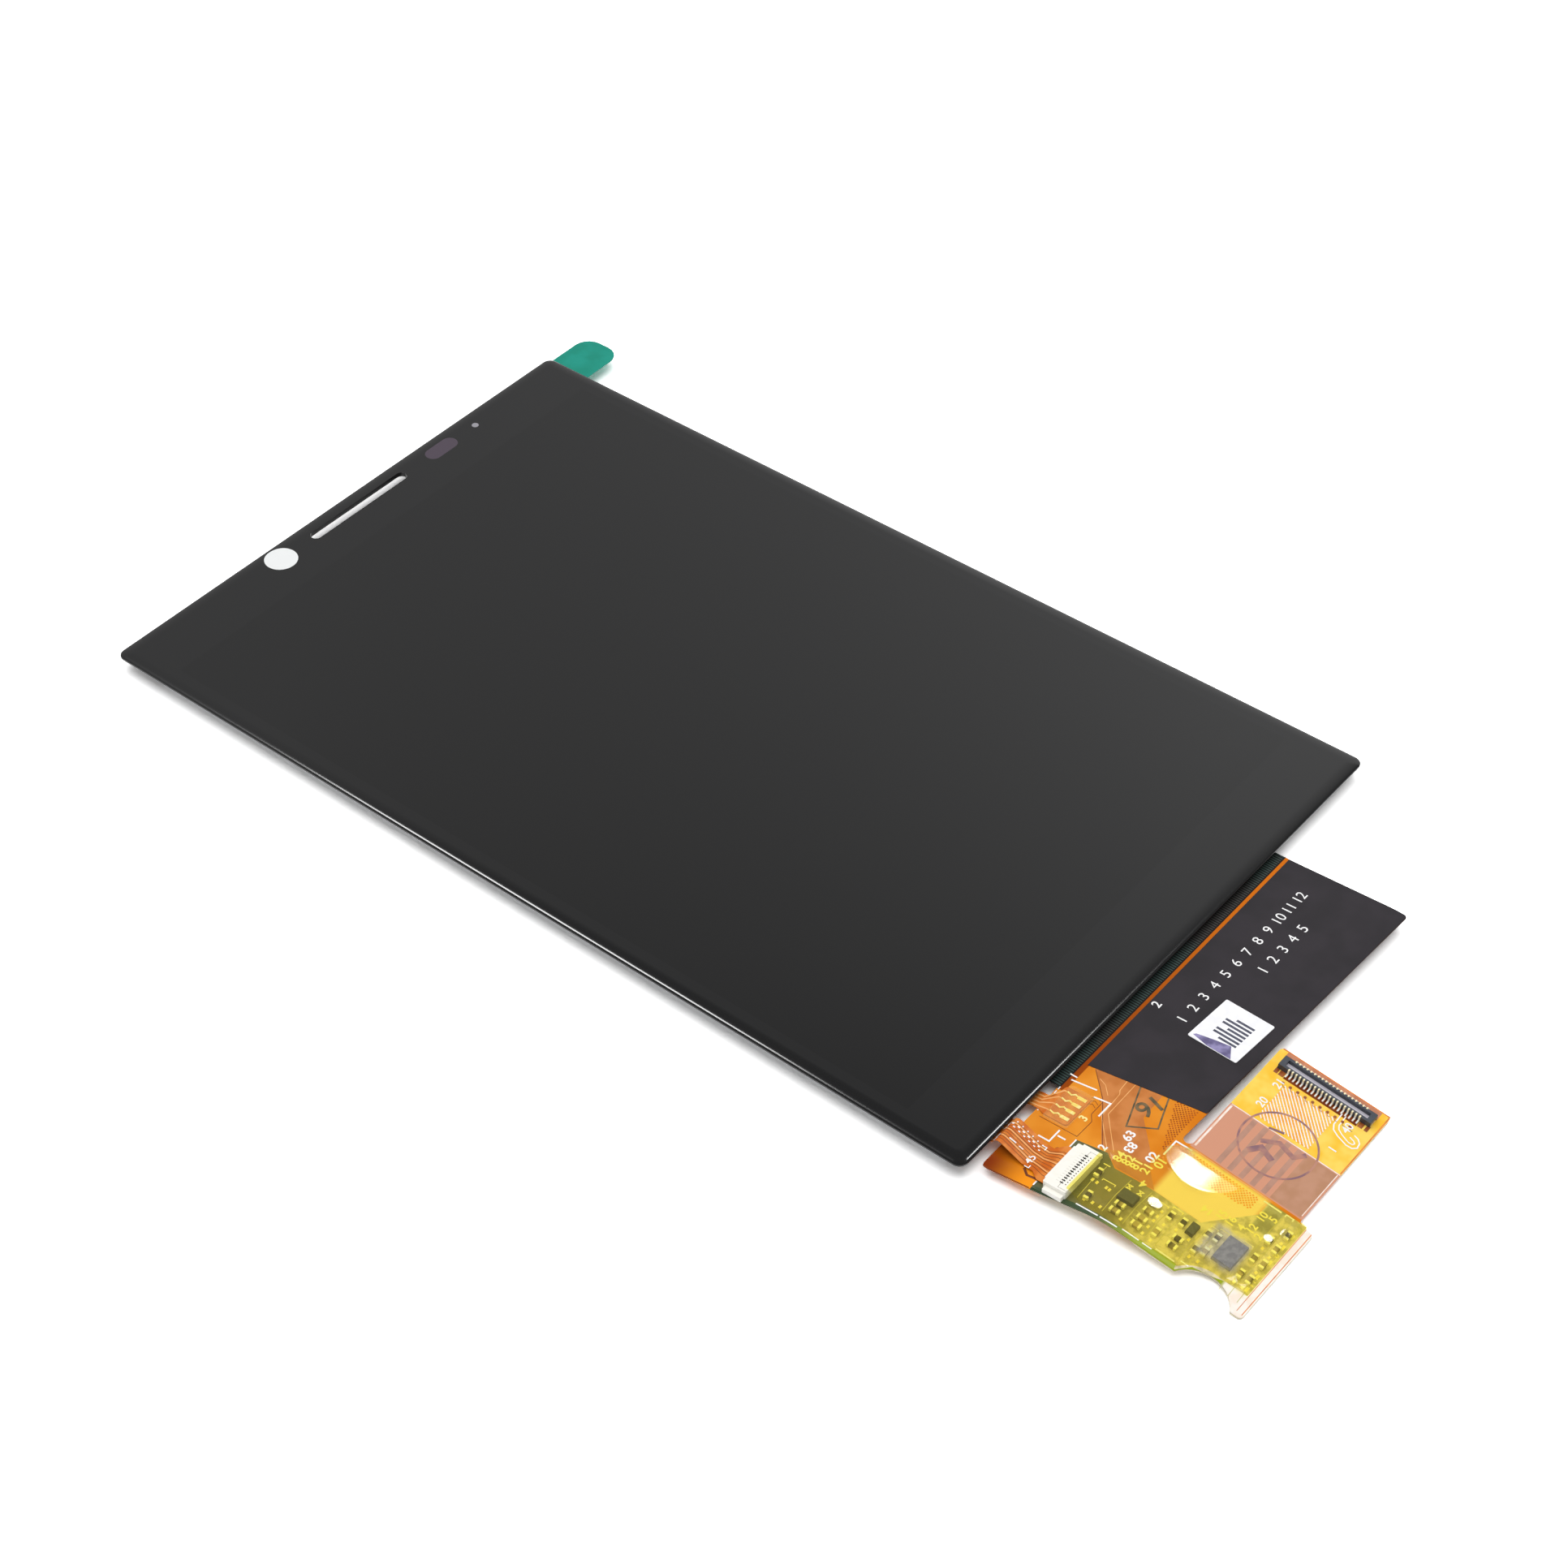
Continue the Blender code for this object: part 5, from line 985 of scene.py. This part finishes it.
def print_square_stamp():
    stamp = Print("square_stamp")
    stamp.line(0.16, (-15.45, -61.6), (-20.4, -63.3), (-18.95, -65.75), (-15.25, -64.45))
    look = mottled("stamp_ink", (72, 68, 42), (120, 96, 56), 1.2, 0.5)
    stamp.done("stamp_outline", look)
    write("stamp_number", "16", -17.1, -63.6, 2.3, look, 160)


def print_zif_traces():
    """Copper runs that lead into the insertion connector, and the brown edge of the ear."""
    runs = Print("line")
    for k in range(9):
        x = -29.15 + 0.26 * k
        jog = 0.14 if k % 2 else -0.14
        runs.line(0.08, (x, -58.3), (x, -59.5), (x + jog, -59.9), (x + jog, -60.3), (x, -60.65))
    runs.line(0.24, (-29.9, -58.9), (-30.45, -59.6), (-30.3, -60.7))
    runs.line(0.1, (-26.9, -60.2), (-26.6, -60.0), (-26.2, -60.2), (-26.3, -60.6))
    runs.ring(-26.4, -60.1, 0.3, 0.09, -60, 200, 16)
    runs.done("zif_traces", DARK_TRACE)
    rim = Print("ear_rim")
    rim.line(0.12, (-31.85, -55.8), (-31.9, -56.4), (-31.55, -60.6))
    rim.done("ear_rim", BROWN_RIM)


def print_touch_traces():
    """Copper traces of the touch tail, which spread in the mouth of the connector."""
    light = Print("tail", TOUCH_TAIL, TAIL_THICKNESS)
    dark = Print("tail", TOUCH_TAIL, TAIL_THICKNESS)
    for k in range(9):
        across = -1.25 + 0.3 * k
        spread = -28.05 + 1.4 * across
        path = [(-27.75 + across, -55.2), (-28.25 + across, -60.2), (spread, -61.2), (spread, -61.75)]
        dark.line(0.05, *path)
        if k in (1, 4, 7):
            light.line(0.12, *[(x + 0.15, v) for x, v in path])
    light.done("touch_traces_light", LIGHT_TRACE, "tail_polyimide")
    dark.done("touch_traces_dark", DARK_TRACE, "tail_polyimide")


def print_touch_marks():
    marks = Print("tail_mark", TOUCH_TAIL, TAIL_THICKNESS)
    for k in range(6):
        v = -55.9 - 0.62 * k
        x = -26.85 + 0.1 * (v + 55)
        marks.box(x - 0.08, x + 0.08, v - 0.12, v + 0.12)
        marks.box(x + 0.25, x + 0.4, v - 0.3, v - 0.18)
        marks.box(x - 0.4, x - 0.28, v - 0.4, v - 0.2)
    marks.line(0.1, (-29.85, -59.3), (-29.85, -59.75), (-29.5, -59.75))
    marks.line(0.1, (-26.95, -59.3), (-26.95, -59.7), (-27.3, -59.7))
    marks.box(-28.6, -28.5, -58.2, -57.7)
    marks.done("touch_marks", WHITE_INK, "tail_polyimide")
    numbers = [("65", -29.0, -55.55, 0.95), ("14", -27.35, -55.55, 0.95)]
    numbers += [("1", -28.5, -57.0, 0.95), ("45", -28.9, -59.3, 0.95)]
    on_tail = {"lift": 0.012, "base": TAIL_THICKNESS, "bold": 0.012, "course": TOUCH_TAIL}
    write_all("tail_number", numbers, WHITE_INK, **on_tail)


def print_led_tail():
    """Pale traces from under the glass, and the soldered pads with their S-shaped links."""
    runs = Print("tail", LED_TAIL, TAIL_THICKNESS)
    solder = Print("solder")
    for k in range(4):
        start = -23.2 + 0.42 * k
        x = -23.0 + 0.93 * k
        runs.line(0.14, (start, -54.6), (start, -55.6), (x, -56.6), (x, -57.2))
        solder.box(x - 0.17, x + 0.2, -58.85, -57.95)
        solder.line(0.16, (x + 0.05, -57.95), (x + 0.15, -57.6), (x - 0.1, -57.3), (x + 0.05, -56.8))
    runs.done("led_traces", LIGHT_TRACE, "tail_polyimide")
    solder.done("solder_pads", GILT, "tail_polyimide")


def print_hatch():
    """Rows of small square holes in the copper below the mask, each row half a pitch on from the last."""
    pitch_x, pitch_v, rows, columns, left_limit = 0.36, 0.175, 66, 24, -21.9
    bare, covered = Print("hole"), Print("hole")
    for row in range(rows):
        v = -65.35 - pitch_v * row
        if v > -67.6:
            dots, radius, left, right = bare, 0.1, -15.9 - 2.45 * (-65.4 - v), -15.2
        elif v > -67.95:
            continue
        else:
            dots, radius, left, right = covered, 0.12, left_limit + 0.1 * (-67.9 - v), -19.5
        for column in range(columns):
            x = right - pitch_x * (column + (row % 2) / 2)
            if x > max(left, left_limit):
                dots.disc(x, v, radius, 4)
    bare.done("copper_hatch", ink("hatch", (150, 64, 6), (180, 84, 14), 1.0))
    look = mottled("covered_hatch", (244, 156, 66), (252, 178, 92), 1.0, 0.4, Specular_IOR_Level=0.1)
    covered.done("covered_hatch", look)


def print_branch():
    """Bands of copper of the thin branch, and painted highlights along its edges."""
    left, right = -18.65, -12.5
    bands = Print("field")
    for k in range(5):
        v = -71.9 - 1.2 * k
        bands.box(left, right, v - 0.26, v + 0.26)
    dark = Print("field")
    dark.box(left, right, -80.6, -77.4)
    dark.done("branch_end", ink("branch_end", (186, 136, 104), (196, 146, 118), 0.6, 0.35))
    bands.done("branch_bands", ink("branch_bands", (178, 135, 116), (192, 146, 126), 0.6, 0.35))
    # Painted highlights: pale lines along the branch's edges stand in for glints of light.
    edges = Print("line")
    edges.line(0.2, (-18.5, -69.36), (right, -69.36))
    edges.line(0.09, (-18.4, -80.62), (right, -80.62))
    edges.line(0.12, (-12.36, -69.25), (-12.36, -80.8))
    edges.done("branch_edge_highlights", mottled("branch_edge_highlights", (246, 214, 192), (254, 240, 230), 1.5, 0.25))


def print_round_stamp():
    stamp = Print("round_stamp")
    stamp.ring(-13.4, -74.9, 3.65, 0.2, 0, 360, 64)
    stamp.line(0.6, (-15.7, -73.1), (-14.6, -73.9), (-15.2, -75.4))
    stamp.line(0.5, (-14.0, -73.4), (-13.1, -74.9), (-13.6, -76.6), (-12.6, -77.4))
    stamp.line(0.25, (-12.3, -73.2), (-11.9, -74.6))
    stamp.done("round_stamp", mottled("round_stamp", (134, 96, 106), (190, 134, 112), 0.7, 0.5))


def print_plug_hatch():
    """A copper field crossed by white hatching and fainter lines the other way."""
    left, right, low, high, pitch = -11.9, -7.3, -77.1, -71.7, 0.42
    width, height = right - left, high - low
    field = Print("field")
    field.box(left, right, low, high)
    field.done("plug_copper", ink("plug_copper", (246, 168, 48), (254, 200, 84), 0.8, 0.35))
    broad, fine = Print("trace"), Print("thin")
    for k in range(1, round((width + height) / pitch)):
        reach = pitch * k
        first = max(0.0, reach - height)
        last = min(width, reach)
        if last - first > 0.1:
            broad.line(0.1, (left + first, high - reach + first), (left + last, high - reach + last))
            fine.line(0.06, (left + first, low + reach - first), (left + last, low + reach - last))
    broad.done("plug_hatch", WHITE_INK)
    fine.done("plug_cross_hatch", LIGHT_TRACE)


def print_contact_pads():
    """Copper round the contacts of the board connector: end pads, test dots and the two fields, the left one
    darker with painted shade of the connector.
    """
    pads = Print("pad")
    for low, high in ((-70.4, -70.0), (-71.05, -70.5), (-79.5, -79.0), (-80.05, -79.7)):
        pads.box(-6.65, -5.9, low, high)
    for k in range(0, 20, 2):
        v = -71.4 - CONTACT_PITCH * k
        pads.disc(-7.15, v, 0.17, 8)
        pads.line(0.05, (-7.15, v), (-7.5, v - 0.2), (-7.5, v - 0.45))
    pads.done("plug_pads", mottled("plug_pads", (148, 76, 30), (172, 96, 44), 2.0, 0.35))
    # Painted shade: the darker brown field on the connector's left side stands for its shadow on the copper.
    shade = Print("hole")
    shade.box(-6.72, -5.9, -78.95, -71.1)
    shade.done("contact_shade_field", BROWN_RIM)
    field = Print("hole")
    field.box(-4.9, -3.8, -80.0, -69.9)
    field.done("contact_copper", mottled("contact_copper", (186, 114, 78), (206, 136, 100), 0.8, 0.35))


def print_plug_lines():
    """Nested trace loops, the orange rim of the branch and of the board's foot, and plain numbers."""
    loops = Print("line")
    loops.line(
        0.13, (-6.4, -77.3), (-7.9, -77.35), (-8.45, -77.65), (-8.8, -78.3), (-9.15, -79.4), (-9.1, -80.0),
        (-8.75, -80.35), (-8.2, -80.25), (-7.85, -79.9), (-7.7, -79.4),
    )
    loops.line(
        0.11, (-6.4, -77.72), (-7.7, -77.78), (-8.1, -78.0), (-8.4, -78.5), (-8.75, -79.4), (-8.72, -79.8),
        (-8.5, -79.92), (-8.3, -79.7), (-8.15, -79.2),
    )
    loops.done("plug_loops", WHITE_INK)
    rim = Print("plug_rim")
    rim.line(0.14, (-3.75, -69.3), (-3.75, -80.75), (-12.2, -80.75))
    rim.line(0.08, (-30.7, -82.32), (-19.5, -82.32))
    rim.line(0.06, (-30.6, -81.74), (-19.4, -81.7))
    rim.done("plug_rim", mottled("plug_rim", (218, 120, 36), (236, 140, 52), 1.0, 0.4))
    numbers = [("20", -10.3, -71.2, 1.0), ("21", -7.5, -71.2, 1.0)]
    numbers += [("1", -10.4, -78.8, 1.0), ("40", -7.45, -78.55, 1.0)]
    write_all("contact_number", numbers, WHITE_INK)


def print_field():
    """Plain numbers on the black film: a row of months and a row of weeks, with no name or code."""
    on_film = {"lift": 0.006, "base": SHIELD_TOP}
    months = [(str(k + 1), -6.3 + 1.85 * k, -60.0, 1.35) for k in range(12)]
    write_all("month_number", months, WHITE_INK, bold=0.0, **on_film)
    weeks = [(str(k + 1), 3.6 + 1.75 * k, -62.5, 1.4) for k in range(5)]
    write_all("week_number", weeks, WHITE_INK, bold=0.0, **on_film)
    write("field_number", "2", -6.1, -57.05, 1.15, WHITE_INK, **on_film)


def label_point(across, along):
    lean = math.radians(LABEL_TURN)
    x = LABEL_X + across * math.cos(lean) - along * math.sin(lean)
    return x, LABEL_V + across * math.sin(lean) + along * math.cos(lean)


def print_label():
    """A few plain bars stand in the printed field of the label, with a smear of pen beside them."""
    bars = Print("label", base=LABEL_TOP)
    for k in range(7):
        left = -1.55 + 0.47 * k
        right, low, high = left + 0.26, -1.6, 1.3 if k % 3 else 0.4
        corners = ((left, low), (right, low), (right, high), (left, high))
        bars.area(*[label_point(*corner) for corner in corners])
    bars.done("label_bars", mottled("label_bars", (60, 62, 82), (84, 86, 104), 3.0, 0.5), "label_paper")
    smear = Print("field", base=LABEL_TOP)
    outline = ((-2.95, -2.1), (-1.6, -1.2), (-1.9, 0.4), (-2.35, 2.2), (-2.6, 2.4), (-2.95, 0.6))
    smear.area(*[label_point(*corner) for corner in outline])
    smear.done("pen_smear", mottled("pen_smear", (92, 84, 128), (150, 142, 188), 0.9, 0.4), "label_paper")


make_camera()
make_world()
make_lights()
make_floor()
make_glass()
dress_layers()
dress_backlight()
dress_chips()
dress_circuits()
print_masks()
print_white_marks()
print_covered_marks()
print_board_numbers()
print_small_pads()
print_seams()
print_copper()
print_square_stamp()
print_zif_traces()
print_touch_traces()
print_touch_marks()
print_led_tail()
print_hatch()
print_branch()
print_round_stamp()
print_plug_hatch()
print_contact_pads()
print_plug_lines()
print_field()
print_label()

SCENE.view_settings.view_transform = "Standard"
